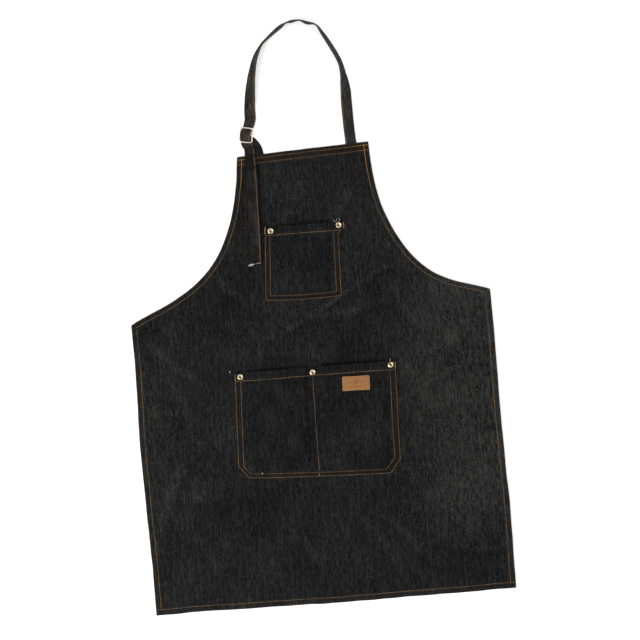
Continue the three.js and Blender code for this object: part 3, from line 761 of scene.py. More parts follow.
# each pocket's corners from the foot up; knots are shares of the height
chestPocket = {
    "knots": [0, 0.84, 0.9, 1], "height": 139, "cell": 1.7, "sag": 2.2, "seed": 61,
    "left": [(-84, 573.5), (-76.4, 690.3), (-75.8, 698.7), (-75, 712.5)],
    "right": [(61, 571), (64.4, 689.6), (73, 697.6), (75, 711.5)], "innerRow": 10,
    "innerLegs": [10, 10, 10, 10, 10],
}
lowerPocket = {
    "knots": [0, 0.12, 0.9, 1], "height": 201.5, "cell": 2.0, "sag": 1.2, "seed": 62,
    "left": [(-142.5, 242), (-161.3, 266.5), (-154.6, 423), (-154, 443.5)],
    "right": [(125.5, 229), (146.2, 254), (151, 421), (152, 441.5)],
    "middle": [(-8.9, 235.5), (-8.6, 260.3), (-7.3, 422), (-7.2, 442.5)], "divider": 0.49, "innerRow": 11.5,
    "innerLegs": [11.4, 8.2, 9.0, 12.2, 12.0],
}
pocketFit = {
    "border": 17.5, "run": 12, "lift": 5.2, "mouth": 16.8, "mouthRow": 15.8, "outerRow": 1.6, "flat": 7, "turned": 0.6,
    "rowEnd": 0.5, "mouthPitch": 3.1,
}


def pocketSize(pocket):
    # width along the foot's upper corners, and height
    return pocket["right"][1][0] - pocket["left"][1][0], pocket["left"][3][1] - pocket["left"][0][1]


def pocketEdge(pocket, side, v):
    points = np.array(pocket[side], float)
    return np.stack([np.interp(v, pocket["knots"], points[:, k]) for k in (0, 1)], -1)


def pocketAt(pocket, u, v):
    # where the pocket's cloth lies on the apron, and how far it stands off it
    left, right = pocketEdge(pocket, "left", v), pocketEdge(pocket, "right", v)
    width, height = pocketSize(pocket)
    fit = pocketFit
    off = smooth(np.minimum(u, 1 - u) * width, fit["border"], fit["border"] + fit["run"])
    off = off * smooth(v * height, fit["border"], fit["border"] + fit["run"])
    if "divider" in pocket:
        split = pocket["divider"]
        off = off * smooth(np.abs(u - split) * width, fit["flat"], fit["flat"] + fit["run"])
        middle = pocketEdge(pocket, "middle", v)
        low, high = (u / split)[..., None], ((u - split) / (1 - split))[..., None]
        at = np.where((u < split)[..., None], left + (middle - left) * low, middle + (right - middle) * high)
    else:
        at = left + (right - left) * u[..., None]
    droop = -pocket["sag"] * (4 * u * (1 - u)) * (1 - smooth(v, 0, 0.25))
    at = at + np.stack([droop * 0, droop], -1)
    return at, off, np.minimum(u, 1 - u) * width, v * height, (1 - v) * height


def pocketTop(pocket, u, v):
    # where the pocket's back face lies, the cloth's thickness over it, and how near the edges each point is
    fit = pocketFit
    at, off, side, foot, mouth = pocketAt(pocket, u, v)
    x, y = at[..., 0], at[..., 1]
    seam = 1 - smooth(np.minimum(side, foot), 10.8, 13.4)
    band = 1 - smooth(mouth, fit["mouth"] - 0.3, fit["mouth"] + 0.9)
    slack = 0.55 * off * hills(x, y, 24, pocket["seed"]) + 0.9 * off * hills(x, y * 0.6, 55, pocket["seed"] + 3)
    base = body["hem"] + off * fit["lift"] * 0.86 + slack
    thick = body["cloth"] + np.maximum(seam * fit["turned"], band * 1.6)
    pucker = 0.22 * seam * hills(x * 1.4 + y, y - x, 11, pocket["seed"] + 6)
    dips = 0.3 * bell(mouth - fit["mouthRow"], 0.9)
    for gap in (fit["outerRow"], pocket["innerRow"]):
        dips = np.maximum(dips, 0.3 * bell(np.minimum(side, foot) - gap, 0.9) * (1 - band))
    return at, base, thick + pucker - dips, np.minimum(np.minimum(side, foot), mouth), seam, band


def makePocket(name, pocket, node):
    width, tall = pocketSize(pocket)

    def stopsOf(length):
        near = np.array([0, 0.5, 1.1, 1.7, 2.5, 4, 6, 8, 9.2, 10, 10.8, 11.6, 12.6, 14])
        count = int((length - 28) / pocket["cell"])
        return np.r_[near, np.linspace(14, length - 14, count)[1:-1], length - near[::-1]] / length

    u, v = np.meshgrid(stopsOf(width), stopsOf(tall))
    at, base, thick, nearest, seam, band = pocketTop(pocket, u, v)
    x, y = at[..., 0], at[..., 1]
    rounded = rim(nearest, 0.9)
    middle = base + thick / 2
    front = lay(x, y, middle + thick / 2 * rounded)
    back = lay(x, y, middle + (0.12 - thick / 2) * rounded)
    flat = flatCloth(x, y, x.shape, 0.31, 0.17)
    worn = 0.6 * bell(nearest, 1.3) * (1 - 0.75 * band) + 0.12 * seam
    worn = worn + 0.22 * bell(nearest - 12, 1.1)
    worn = np.clip(worn * (0.75 + 0.5 * hills(x, y, 19, pocket["seed"] + 9)), 0, 1)
    nothing = np.zeros(x.shape)
    gap = np.minimum(np.minimum(u, 1 - u) * width, v * tall)
    outer, inner = pocketFit["outerRow"], pocket["innerRow"]
    between = smooth(gap, outer - 0.6, outer + 1) * (1 - smooth(gap, inner - 1, inner + 1.5))
    marks = {
        "clothAt": (flat, flat), "wear": (worn, worn), "inside": (nothing, nothing + 0.8),
        "deep": (0.5 * between, nothing), "fadeAndShade": (0.25 * hills(x, y, 30, pocket["seed"] + 11) - 0.04, nothing),
    }
    return finishPiece(shell(name, front, back, pocketDenim, marks), "apron", node)


def mitred(points, distances):
    # a cornered line with each leg moved to its left by its own distance, the corners kept sharp
    points = np.asarray(points, float)
    ahead = np.diff(points, axis=0)
    ahead /= np.linalg.norm(ahead, axis=1)[:, None]
    left = np.stack([-ahead[:, 1], ahead[:, 0]], -1)
    out = [points[0] + left[0] * distances[0]]
    for i in range(1, len(points) - 1):
        both = np.array([left[i - 1], left[i]])
        reach = np.array([left[i - 1] @ points[i] + distances[i - 1], left[i] @ points[i] + distances[i]])
        out.append(np.linalg.solve(both, reach))
    out.append(points[-1] + left[-1] * distances[-1])
    return np.array(out)


def pocketLine(pocket, distances, top):
    # the legs of a row that runs down one side, along the foot and up the other
    reach = 1 - top / pocketSize(pocket)[1]
    knots = [reach] + [k for k in reversed(pocket["knots"]) if k < reach - 0.02]
    down = [pocketEdge(pocket, "left", np.array(k)) for k in knots]
    up = [pocketEdge(pocket, "right", np.array(k)) for k in reversed(knots)]
    corners = mitred(down + up, distances)
    legs = []
    for a, b in zip(corners[:-1], corners[1:]):
        leg = a + (b - a) * np.linspace(0, 1, 40)[:, None]
        if abs(b[0] - a[0]) > 90:
            t = (leg[:, 0] - pocket["left"][0][0]) / (pocket["right"][0][0] - pocket["left"][0][0])
            leg[:, 1] -= pocket["sag"] * 4 * t * (1 - t) * 0.95
        legs.append(leg)
    return legs


def sewPocket(name, pocket):
    fit = pocketFit
    width, height = pocketSize(pocket)
    top = body["hem"] + body["cloth"] + fit["turned"] - stitch["sink"]
    under = body["hem"] - body["cloth"] - 0.02
    for row, distances in (("outer", [fit["outerRow"]] * 5), ("inner", pocket["innerLegs"])):
        legs = pocketLine(pocket, distances, fit["mouth"] + fit["rowEnd"])
        sewRow(f"{name}_{row}_stitches", legs, top, under, f"{name}_{row}_row")
    u = np.linspace(1.2 / width, 1 - 1.2 / width, int(width / fit["mouthPitch"]) + 1)
    v = np.full(len(u), 1 - fit["mouthRow"] / height)
    at, base, thick, *_ = pocketTop(pocket, u, v)
    line = lay(at[:, 0], at[:, 1], base + thick + stitch["sink"])
    step = line[1:] - line[:-1]
    up = np.tile([0, 0, 1.0], (len(step), 1))
    row = stitchMesh(name + "_mouth_stitches", line[:-1] + step * 0.09, line[:-1] + step * 0.91, up)
    finishPiece(row, "apron", name + "_mouth_row")


chestPiece = makePocket("chest_pocket_cloth", chestPocket, "chest_pocket")
lowerPiece = makePocket("lower_pocket_cloth", lowerPocket, "lower_pocket")
sewPocket("chest_pocket", chestPocket)
sewPocket("lower_pocket", lowerPocket)
dividerV = np.linspace(1 - 18 / pocketSize(lowerPocket)[1], 0.004, 60)
divider = pocketAt(lowerPocket, np.full(60, lowerPocket["divider"]), dividerV)[0]
sewRow(
    "lower_pocket_divider_stitches", [divider], body["hem"] + body["cloth"], body["hem"] - body["cloth"] - 0.02,
    "lower_pocket_divider_row",
)
print("pockets sewn on")


def latheMesh(profile, around=40):
    # a closed turned shape from (radius, height) pairs that start and end on the axis
    profile = np.array(profile, float)
    angles = np.arange(around) * 2 * math.pi / around
    verts = [(0, 0, profile[0][1])]
    for r, z in profile[1:-1]:
        verts += [(r * math.cos(a), r * math.sin(a), z) for a in angles]
    verts.append((0, 0, profile[-1][1]))
    faces, rings = [], len(profile) - 2
    for k in range(around):
        m = (k + 1) % around
        faces.append((0, 1 + m, 1 + k))
        for i in range(rings - 1):
            a, b = 1 + i * around, 1 + (i + 1) * around
            faces.append((a + k, a + m, b + m, b + k))
        last = 1 + (rings - 1) * around
        faces.append((last + k, last + m, len(verts) - 1))
    return np.array(verts), faces


# where each rivet sits and the side, in degrees, on which its dome is painted darker as painted shade
rivets = {
    "chest_rivet_left": (-63.8, 704.6, 250), "chest_rivet_right": (64.5, 705, 215),
    "lower_rivet_left": (-142.9, 434.6, 235), "lower_rivet_centre": (-6.8, 431.9, 265),
    "lower_rivet_right": (141.4, 434.7, 120),
}
capProfile = [
    (0, 0), (5.6, 0), (5.95, 0.2), (6.1, 0.6), (6.05, 1.0), (5.85, 1.5), (5.45, 2.05), (4.95, 2.5), (4.4, 2.82),
    (3.8, 3.02), (3.2, 3.1), (2.75, 3.04), (2.4, 2.84), (2.2, 2.45), (2.05, 1.95), (1.8, 1.7), (1.4, 1.72),
    (1.0, 1.95), (0.6, 2.12), (0.3, 2.18), (0, 2.2),
]
studProfile = [
    (0, 0.62), (0.7, 0.6), (1.1, 0.42), (1.5, 0.12), (2.2, -0.06), (3.2, -0.08), (4.0, 0.02), (4.4, 0.22),
    (4.55, 0.55), (4.5, 0.9), (4.2, 1.1), (0, 1.1),
]


rivetParts = (("cap", capProfile, 4.72), ("stud", studProfile, 0.5))  # and the height of each one's foot


def makeRivet(name, x, y, shadedSideAt):
    slope = 0.5 * (lift(x + 5, y) - lift(x - 5, y)) / 5, 0.5 * (lift(x, y + 5) - lift(x, y - 5)) / 5
    towards = math.radians(shadedSideAt)
    for part, profile, z in rivetParts:
        verts, faces = latheMesh(profile)
        away = np.hypot(verts[:, 0], verts[:, 1])
        hollow = 0.9 * (1 - smooth(away, 2.0, 2.6)) if part == "cap" else 0.45 * (1 - smooth(away, 1.0, 1.6))
        facing = (verts[:, 0] * math.cos(towards) + verts[:, 1] * math.sin(towards)) / np.maximum(away, 0.1)
        # painted shade: a dark crescent on the dome's given side
        shaded = 0.7 * smooth(facing, 0.35, 0.9) * smooth(away, 2, 3.4)
        # tarnish in the dimple, darker at the foot's edge, and the painted shade
        tarnishAndShade = np.maximum(np.maximum(hollow, 0.6 * smooth(away, 5.8, 6.1)), shaded)
        verts = verts / 1000
        verts[:, 2] += verts[:, 0] * slope[0] + verts[:, 1] * slope[1]
        piece = makePiece(f"{name}_{part}_metal", verts + lay(x, y, z), faces, brass, {"tarnishAndShade": tarnishAndShade})
        finishPiece(piece, "apron", f"{name}_{part}")


for name, place in rivets.items():
    makeRivet(name, *place)
print("rivets set")

label = {
    "centre": (73.4, 405.2), "size": (51.8, 27.0), "corner": 2.2, "turn": -1.9, "under": 8.4, "thick": 1.5,
    "groove": 1.9, "grooveHalf": 0.42, "cell": 0.45,
}


def roundBoxGap(x, y, halfX, halfY, corner):
    # distance inside a rounded rectangle's edge
    pastX, pastY = np.abs(x) - halfX + corner, np.abs(y) - halfY + corner
    outer = np.hypot(np.maximum(pastX, 0), np.maximum(pastY, 0)) + np.minimum(np.maximum(pastX, pastY), 0)
    return corner - outer


def pressedMark(x, y):
    # a plain diamond between two short rules, over a longer rule
    diamond = np.abs(np.abs(x) / 4.6 + np.abs(y - 2.2) / 3.2 - 1) * 2.6
    small = np.abs(x) / 1.5 + np.abs(y - 2.2) / 1.1
    marks = bell(diamond, 0.55) + (1 - smooth(small, 0.8, 1.2))
    for side in (-1, 1):
        away = np.maximum(np.abs(x - side * 12.6) - 5.6, 0)
        marks = marks + bell(np.hypot(away, y - 2.2), 0.5)
    away = np.maximum(np.abs(x) - 11, 0)
    marks = marks + bell(np.hypot(away, y + 6.2), 0.42)
    return np.clip(marks, 0, 1)


def makeLabel():
    halfX, halfY = label["size"][0] / 2, label["size"][1] / 2
    cols, rows = int(2 * halfX / label["cell"]), int(2 * halfY / label["cell"])
    u, v = np.meshgrid(np.linspace(-1, 1, cols), np.linspace(-1, 1, rows))
    # the square grid is drawn into the rounded corners
    x, y = u * halfX, v * halfY
    pull = np.maximum(-roundBoxGap(x, y, halfX, halfY, label["corner"]), 0)
    pastX, pastY = np.abs(x) - halfX + label["corner"], np.abs(y) - halfY + label["corner"]
    share = pull / np.hypot(np.maximum(pastX, 1e-9), np.maximum(pastY, 1e-9))
    x, y = x - np.sign(x) * np.maximum(pastX, 0) * share, y - np.sign(y) * np.maximum(pastY, 0) * share
    gap = np.maximum(roundBoxGap(x, y, halfX, halfY, label["corner"]), 0)
    groove = bell(gap - label["groove"], label["grooveHalf"])
    mark = pressedMark(x, y)
    dome = 0.16 * smooth(gap, 1.5, 10) + 0.06 * hills(x, y, 5, 71) + 0.03 * hills(x, y, 1.1, 72)
    top = label["thick"] - 0.32 * groove - 0.34 * mark + dome
    edge = rim(gap, 0.8)
    turn = math.radians(label["turn"])
    laidX = label["centre"][0] + x * math.cos(turn) - y * math.sin(turn)
    laidY = label["centre"][1] + x * math.sin(turn) + y * math.cos(turn)
    middle = label["thick"] / 2
    front = lay(laidX, laidY, label["under"] + middle + (top - middle) * edge)
    back = lay(laidX, laidY, label["under"] + middle - middle * edge * 1.3)
    flat = flatCloth(x, y, x.shape)
    worn = bell(gap, 0.9)
    pressed = np.clip(groove * 0.35 + mark, 0, 1)
    marks = {"clothAt": (flat, flat), "wear": (worn, worn), "pressed": (pressed, np.zeros(x.shape))}
    finishPiece(shell("label_leather_patch", front, back, leather, marks), "apron", "leather_label")


makeLabel()
print("label pressed")

slider = {
    "centre": (-94.4, 889, 6.3), "turn": -10, "wire": 1.45, "halfWidth": 11.6, "waist": 10.6, "halfHeight": 13.2,
    "corner": 3.2, "under": -2.55, "overBar": 6.25,
}
sliderTurn = math.radians(slider["turn"])
barAxis = np.array([math.cos(sliderTurn), math.sin(sliderTurn), 0])
sliderUp = np.array([-barAxis[1], barAxis[0], 0])


def onSlider(across, along, height):
    across, along, height = np.broadcast_arrays(*(np.asarray(v, float) for v in (across, along, height)))
    at = np.array(slider["centre"]) + across[..., None] * barAxis + along[..., None] * sliderUp
    return np.stack([at[..., 0], at[..., 1], height], -1)


def curveThrough(knots, stations, closed=False):
    # centripetal curve through the knots; a station counts knots from the first
    knots = np.asarray(knots, float)
    count = len(knots)
    out = np.empty((len(stations), knots.shape[1]))
    for n, s in enumerate(stations):
        k = int(math.floor(s))
        t = s - k
        if not closed:
            k = min(max(k, 0), count - 2)
            t = s - k
        p1, p2 = knots[k % count], knots[(k + 1) % count]
        p0 = knots[(k - 1) % count] if closed or k > 0 else 2 * knots[0] - knots[1]
        p3 = knots[(k + 2) % count] if closed or k + 2 < count else 2 * knots[-1] - knots[-2]
        gaps = [max(np.sum((b[:3] - a[:3]) ** 2) ** 0.25, 1e-4) for a, b in ((p0, p1), (p1, p2), (p2, p3))]
        if gaps[1] < 1e-4:
            gaps[1] = 1.0
        d0, d1, d2 = gaps
        m1 = ((p1 - p0) / d0 - (p2 - p0) / (d0 + d1) + (p2 - p1) / d1) * d1
        m2 = ((p2 - p1) / d1 - (p3 - p1) / (d1 + d2) + (p3 - p2) / d2) * d1
        a, b = 2 * (p1 - p2) + m1 + m2, -3 * (p1 - p2) - 2 * m1 - m2
        out[n] = a * t**3 + b * t**2 + m1 * t + p1
    return out


def aheadOn(knots, stations):
    # which way a curve runs at each station
    return curveThrough(knots, stations + 0.02) - curveThrough(knots, stations - 0.02)


def makeSlider():
    wide, waist, tall, corner = (slider[key] for key in ("halfWidth", "waist", "halfHeight", "corner"))
    shoulder = (wide + waist) / 2, tall * 0.35
    quarter = [(wide - corner, tall), (wide - 0.7, tall - 0.7), (wide, tall - corner), shoulder]
    down = quarter + [(waist, 0)] + [(b, -s) for b, s in reversed(quarter)]
    around = down + [(-b, -s) for b, s in down]
    points = np.array([onSlider(b, s, slider["centre"][2]) for b, s in around])
    loop = curveThrough(points, np.linspace(0, len(points), 180, endpoint=False), True)
    verts, faces = sweptTube(loop, slider["wire"], 20, True)
    reach = np.linspace(-waist, waist, 30)
    swell = slider["wire"] * (1 + 0.22 * bell(waist - np.abs(reach), 1.2))
    barVerts, barFaces = sweptTube(np.array([onSlider(b, 0, slider["centre"][2]) for b in reach]), swell, 20)
    faces = faces + [tuple(i + len(verts) for i in f) for f in barFaces]
    verts = np.vstack([verts, barVerts]) / 1000
    verts[:, 1] += hemY
    finishPiece(makePiece("slider_wire", verts, faces, nickel), "slider", "slider")


makeSlider()
print("slider bent")

# each knot: x, y from the bib's height, height of the lower edge, lean in degrees, width
strap = {"width": 20, "thick": 2.0, "bib": 854, "row": 8.0, "step": 2.0, "pitch": 4.4, "shortest": 10.1}
strapOnCloth = body["hem"] + 0.5


def sliderKnot(across, along, over, narrowing):
    # over is 0 under the frame and 1 over the bar
    at = onSlider(across, along, 0)
    centre = slider["centre"][2] + slider["under"] + over * slider["overBar"]
    return (at[0], at[1] - strap["bib"], centre - strap["thick"] / 2, 0, strap["width"] - narrowing)


loopKnots = [
    (101, 3.88, 0, 0, 20.8), (100.0, 44, 0, 0, 20.8), (99.6, 84, 0, 8, 21), (99.6, 100, 0, 17, 21),
    (99.1, 116, 0, 34, 21), (98.0, 132, 0, 53, 21), (95.2, 150, 0, 63.5, 21), (91.3, 163.3, 0, 64.5, 21),
    (77.4, 192, 0, 63.5, 21), (65.8, 212.7, 0, 69, 21), (53.6, 231.6, 0, 78, 20), (37.6, 236.4, 0, 67, 20),
    (22.9, 242.6, 0, 77, 20), (7.1, 241, 0, 68, 20), (-1.8, 239.6, 0, 77, 20), (-14.2, 232.6, 0, 64.5, 20),
    (-33.4, 218.2, 0, 68.5, 20), (-51.0, 203.2, 0, 74, 20), (-63.6, 182.8, 0, 63, 20.6), (-71.5, 160.6, 0, 54, 20.8),
    (-78, 129.4, 0, 36, 21), (-81.7, 104, 0, 20, 21), (-84.1, 78, 0, 0, 21.2), (-84.8, 64, 1.2, 0, 21),
]
weaveKnots = [
    sliderKnot(2.4, 17, 0, 1), sliderKnot(1.2, 13.2, 0, 2), sliderKnot(0.7, 10, 0.152, 2),
    sliderKnot(-0.8, 5, 0.76, 1), sliderKnot(-1.9, 0, 1, 0), sliderKnot(-1.9, -5, 0.76, 1),
    sliderKnot(-0.9, -10, 0.152, 2), sliderKnot(-0.3, -13.2, 0, 2), sliderKnot(1.6, -17, 0, 2),
    (-91.6, 12, strapOnCloth, 0, 19), (-90.3, 4, strapOnCloth, 0, 19.4), (-90.4, -1.4, strapOnCloth, 0, 19.6),
]
tailKnots = [
    (-90.9, -18, strapOnCloth, 0, 20), (-91.2, -54, strapOnCloth, 0, 20), (-92.8, -103.7, strapOnCloth, 0, 20),
    (-94.0, -157, strapOnCloth, 0, 20), (-95.2, -209, strapOnCloth, 0, 20),
]
strapKnots = np.array(loopKnots + weaveKnots + tailKnots, float)


def strapFrames(stations):
    path = curveThrough(strapKnots, stations)
    ahead = aheadOn(strapKnots, stations)[:, :3]
    ahead /= np.linalg.norm(ahead, axis=1)[:, None]
    level = np.cross([0, 0, 1.0], ahead)
    level /= np.linalg.norm(level, axis=1)[:, None]
    face = np.cross(ahead, level)
    lean = np.radians(path[:, 3])[:, None]
    side = level * np.cos(lean) + face * np.sin(lean)
    up = face * np.cos(lean) - level * np.sin(lean)
    width = path[:, 4]
    centre = path[:, :3].copy()
    centre[:, 1] += strap["bib"]
    centre[:, 2] += (width * np.abs(np.sin(lean[:, 0])) + strap["thick"] * np.cos(lean[:, 0])) / 2
    return centre, side, up, width


# the strap's section: share of the half width, share of the half thickness, wear
strapSection = [
    (-1.0, 0.0, 1.0), (-0.985, 0.55, 0.9), (-0.93, 0.95, 0.5), (-0.8, 1.05, 0.15), (-0.5, 1.0, 0.05), (-0.2, 1.02, 0),
    (0.1, 1.0, 0), (0.4, 1.0, 0.05), (0.6, 1.02, 0.3), (0.72, 0.92, 0.45), (0.8, 0.74, 0.5), (0.88, 0.95, 0.75),
    (0.95, 0.9, 1.0), (0.99, 0.5, 1.0), (1.0, 0.0, 1.0),
]
ring = np.array(strapSection + [(a, -b, w * 0.8) for a, b, w in reversed(strapSection[1:-1])])
ringAcross, ringUp, ringWear = ring[None, :, 0], ring[None, :, 1], ring[None, :, 2]


def strapStations(first, last):
    out = [first]
    for k in range(int(math.floor(first)), int(math.ceil(last))):
        length = np.linalg.norm(strapKnots[min(k + 1, len(strapKnots) - 1)][:2] - strapKnots[k][:2]) + 2
        count = max(3, int(math.ceil(length / strap["step"])))
        out += [at for at in k + np.arange(1, count + 1) / count if first < at < last]
    return np.array(sorted({round(float(at), 6) for at in out + [last]}))


def strapLengths(stations):
    # distance along the strap from its start, from one fine table so that every piece agrees
    centre = curveThrough(strapKnots, strapTable)[:, :3]
    steps = np.r_[0, np.cumsum(np.linalg.norm(np.diff(centre, axis=0), axis=1))]
    return np.interp(stations, strapTable, steps)


strapTable = np.linspace(0, len(strapKnots) - 1, 900)


def strapSkin(stations):
    centre, side, up, width = strapFrames(stations)
    far = strapLengths(stations)
    far = far[:, None]
    stitchedEdge = 0.35 * hills(far, far * 0, 16, 81) * (ringAcross > 0.5)
    freeEdge = 0.2 * hills(far, far * 0, 9, 82) * (ringAcross < -0.5)
    across = ringAcross * (width / 2)[:, None] + stitchedEdge + freeEdge
    puff = 1 + 0.16 * hills(far + ringAcross * 9, ringAcross * 17 + far * 0, 12, 83)
    above = ringUp * strap["thick"] / 2 * puff * 0.97
    points = centre[:, None] + side[:, None] * across[..., None] + up[:, None] * above[..., None]
    flat = flatCloth(across, far, across.shape, 0.7, 0.3)
    worn = np.clip(ringWear * (0.75 + 0.5 * hills(far, far * 0, 13, 84)), 0, 1)
    return points, flat, worn


def ribbonPiece(name, points, flat, worn, material):
    faces = tubeFaces(*points.shape[:2])
    worn = worn * (0.3 + 0.7 * smooth(ringAcross, -0.6, 0.5))
    deep = np.broadcast_to(0.55 * bell(ringAcross + 0.78, 0.16), worn.shape)
    hanging = 1 - smooth((points[..., 1] - hemY) * 1000, 848, 875)
    fadeAndShade = 0.36 + 0.4 * hills(flat[..., 1] * 1000, ringAcross * 6 + flat[..., 0] * 0, 17, 87) - 0.8 * hanging
    marks = {"clothAt": flat.reshape(-1, 3), "wear": worn.ravel(), "deep": deep.ravel(), "fadeAndShade": fadeAndShade.ravel()}
    return makePiece(name, points.reshape(-1, 3), faces, material, marks)


def strapStitches(name, first, last):
    begin, finish = strapLengths([first, last])
    pitch = strap["pitch"]
    low, high = math.ceil(begin / pitch), math.floor(finish / pitch)
    if high - low < 1:
        return None
    far = np.arange(low, high + 1) * pitch
    table = strapLengths(strapTable)
    ups, ends = [], []
    for shift in (0.12, 0.82):
        centre, side, up, width = strapFrames(np.interp(far[:-1] + pitch * shift, table, strapTable))
        out = (strap["row"] * width / strap["width"])[:, None]
        ends.append([layPoints(centre + side * out + up * sign * (strap["thick"] / 2 * 0.82)) for sign in (1, -1)])
        ups.append(up)
    starts = np.vstack(ends[0])
    stops = np.vstack(ends[1])
    up = (ups[0] + ups[1]) / 2
    up /= np.linalg.norm(up, axis=1)[:, None]
    return stitchMesh(name, starts, stops, np.vstack([up, -up]), 1.05)


def strapPart(name, first, last, attach, rowNode=None, node=None):
    stations = strapStations(first, last)
    points, flat, worn = strapSkin(stations)
    piece = ribbonPiece(name, layPoints(points), flat, worn, strapDenim)
    row = strapStitches(name + "_stitches", first, last)
    finishPiece(piece, attach, node)
    if row is not None:
        finishPiece(row, attach, rowNode)
    length = max(float(np.diff(strapLengths([first, last]))[0]), strap["shortest"])


def blends():
    # keeps a piece where it lies on the apron, with its place baked into its mesh
    return lambda piece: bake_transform(piece)


strapPart("strap_root", 0, 0.55, blends())
strapPart("neck_loop", 0.55, 22, "neck", "neck_strap_row", "neck_strap")
strapPart("strap_above_slider", 22, 24, blends())
strapPart("strap_in_slider", 24, 32, "slider")
strapPart("strap_below_slider", 32, 33.2, blends())
strapPart("strap_over_bib", 33.2, 35.2, blends())
strapPart("tail_root", 35.2, 36.2, blends())
strapPart("tail_run", 36.2, 38, blends(), "strap_tail_row", "strap_tail")
strapPart("tail_end_strap", 38, 40, "tail_end", "strap_tail_end_row", "strap_tail_end")
print(f"strap threaded, {strapLengths([0, 40])[1]:.0f} mm long")


sewnEnd = {"length": 17.8, "thick": 1.3, "height": 0.92}


def sewnPatch(name, anchor, node):
    # the last of a strap, laid flat behind the bib's hem
    x, y, width = anchor
    far = np.linspace(-0.6, sewnEnd["length"] - 0.6, 12)[:, None]
    across = ringAcross * width / 2
    points = np.empty((len(far), ring.shape[0], 3))
    points[..., :2] = (np.array([x, y]) + bibDown * far)[:, None] + bibAlong * across[..., None]
    points[..., 2] = sewnEnd["height"] + ringUp * sewnEnd["thick"] / 2
    flat = flatCloth(across, far, points.shape[:2])
    worn = np.broadcast_to(ringWear, points.shape[:2]) * 0.7
    piece = finishPiece(ribbonPiece(name, layPoints(points), flat, worn, strapDenim), "apron", node)


sewnPatch("strap_end_behind_bib", anchors["right"], "strap_sewn_end")
sewnPatch("tab_end_behind_bib", anchors["tab"], "tab_sewn_end")

tab = {"width": 17, "thick": 1.0, "foot": (-72.6, 851.71)}


def tabLine():
    # the tab's path in the slider's own directions: along the bar, past it, and up
    around = slider["wire"] + tab["thick"] / 2 + 0.15
    bar = slider["centre"][2]
    foot = np.array(tab["foot"]) - np.array(slider["centre"][:2])
    footAcross, footAlong = foot @ barAxis[:2], foot @ sliderUp[:2]
    return np.array([
        (footAcross, footAlong, 1.6), (23.4, -21, 1.6), (17.0, -12.2, 1.7), (8.4, -6.6, 2.5), (1.4, -4.2, 4.7),
        (0, -around, bar),
        (0, -0.72 * around, bar + 0.72 * around), (0, 0, bar + around), (0, 0.72 * around, bar + 0.72 * around),
        (0, around, bar), (0, 0.7 * around, bar - 0.8 * around), (0.8, -0.9, bar - 1.2 * around), (7.8, -3.6, 2.0),
        (16.2, -10.8, 0.55), (23.4, -21, 0.5), (footAcross, footAlong, 0.5),
    ]), footAlong


def tabPart(name, first, last, attach, node=None):
    line, footAlong = tabLine()
    stations = np.linspace(first, last, max(8, int((last - first) * 8)))
    at = curveThrough(line, stations)
    ahead = aheadOn(line, stations)
    outward = np.stack([-ahead[:, 2], ahead[:, 1]], -1)
    outward /= np.linalg.norm(outward, axis=1)[:, None]
    share = smooth(-at[:, 1], 8, -footAlong)
    spin = share * (math.atan2(bibAlong[1], bibAlong[0]) - sliderTurn)
    across = ringAcross * tab["width"] / 2
    above = -ringUp * tab["thick"] / 2 * 0.96
    overBar = at[:, None, 0] - across * np.cos(spin)[:, None]
    pastBar = at[:, None, 1] - across * np.sin(spin)[:, None] - above * outward[:, None, 0]
    points = onSlider(overBar, pastBar, at[:, None, 2] - above * outward[:, None, 1])
    steps = np.r_[0, np.cumsum(np.linalg.norm(np.diff(at, axis=0), axis=1))]
    flat = flatCloth(across, steps[:, None], points.shape[:2], 0.2, 0.5)
    worn = np.broadcast_to(ringWear, points.shape[:2]) * 0.45
    piece = finishPiece(ribbonPiece(name, layPoints(points), flat, worn, denim), attach, node)


tabBend = blends()
tabPart("tab_front_layer", 0, 1.3, tabBend)
tabPart("tab_round_bar", 1.3, 13.7, blends(), "slider_tab")
tabPart("tab_back_layer", 13.7, 15, tabBend)
print("tab wrapped round the bar")


def strand(points, radius, rng, wiggle):
    stations = np.linspace(0, len(points) - 1, 22)
    path = curveThrough(np.array(points, float), stations)
    path[1:-1] += rng.normal(0, wiggle, path[1:-1].shape) * 0.35
    taper = radius * np.sqrt(np.clip(1 - (stations / stations[-1]) ** 4, 0.06, 1))
    return sweptTube(path, taper, 6)


def strandPiece(name, strands, bodyName):
    verts, faces, count = [], [], 0
    for strandVerts, strandFaces in strands:
        faces += [tuple(i + count for i in face) for face in strandFaces]
        verts.append(strandVerts)
        count += len(strandVerts)
    piece = makePiece(name, layPoints(np.vstack(verts)), faces, lint, {"threadTone": np.full(count, 0.1)})
    finishPiece(piece, bodyName)


frayed = {"short": 13, "brush": 20}


def frayedEnd():
    rng = np.random.default_rng(5)
    out = []
    for k in range(frayed["short"]):
        x = -107.2 + k * 1.5 + rng.normal(0, 0.2)
        drop = rng.uniform(0.8, 2.2)
        swing = rng.normal(0, 0.7)
        z = 3.9 + rng.normal(0, 0.3)
        points = [(x, 646.2, z), (x + swing * 0.3, 645 - drop * 0.4, z), (x + swing, 645 - drop, z - 0.5)]
        out.append(strand(points, 0.11, rng, 0.06))
    for k in range(frayed["brush"]):
        base = -100.5 + rng.normal(0, 1.6)
        reach = rng.uniform(5, 9)
        lean = rng.normal(-0.36, 0.13)
        points = [
            (base, 645.2 + rng.normal(0, 0.35), 4.2),
            (base - reach * 0.4, 644.8 + lean * reach * 0.4, 4.9 + rng.normal(0, 0.3)),
            (base - reach, 644.1 + lean * reach, 4.3 + rng.normal(0, 0.4)),
        ]
        out.append(strand(points, 0.26, rng, 0.3))
    out.append(strand([(-94.5, 644.6, 5.0), (-90.5, 645.6, 5.3), (-85.4, 645.9, 4.6)], 0.3, rng, 0.15))
    strandPiece("tail_frayed_threads", out, "tail_end")


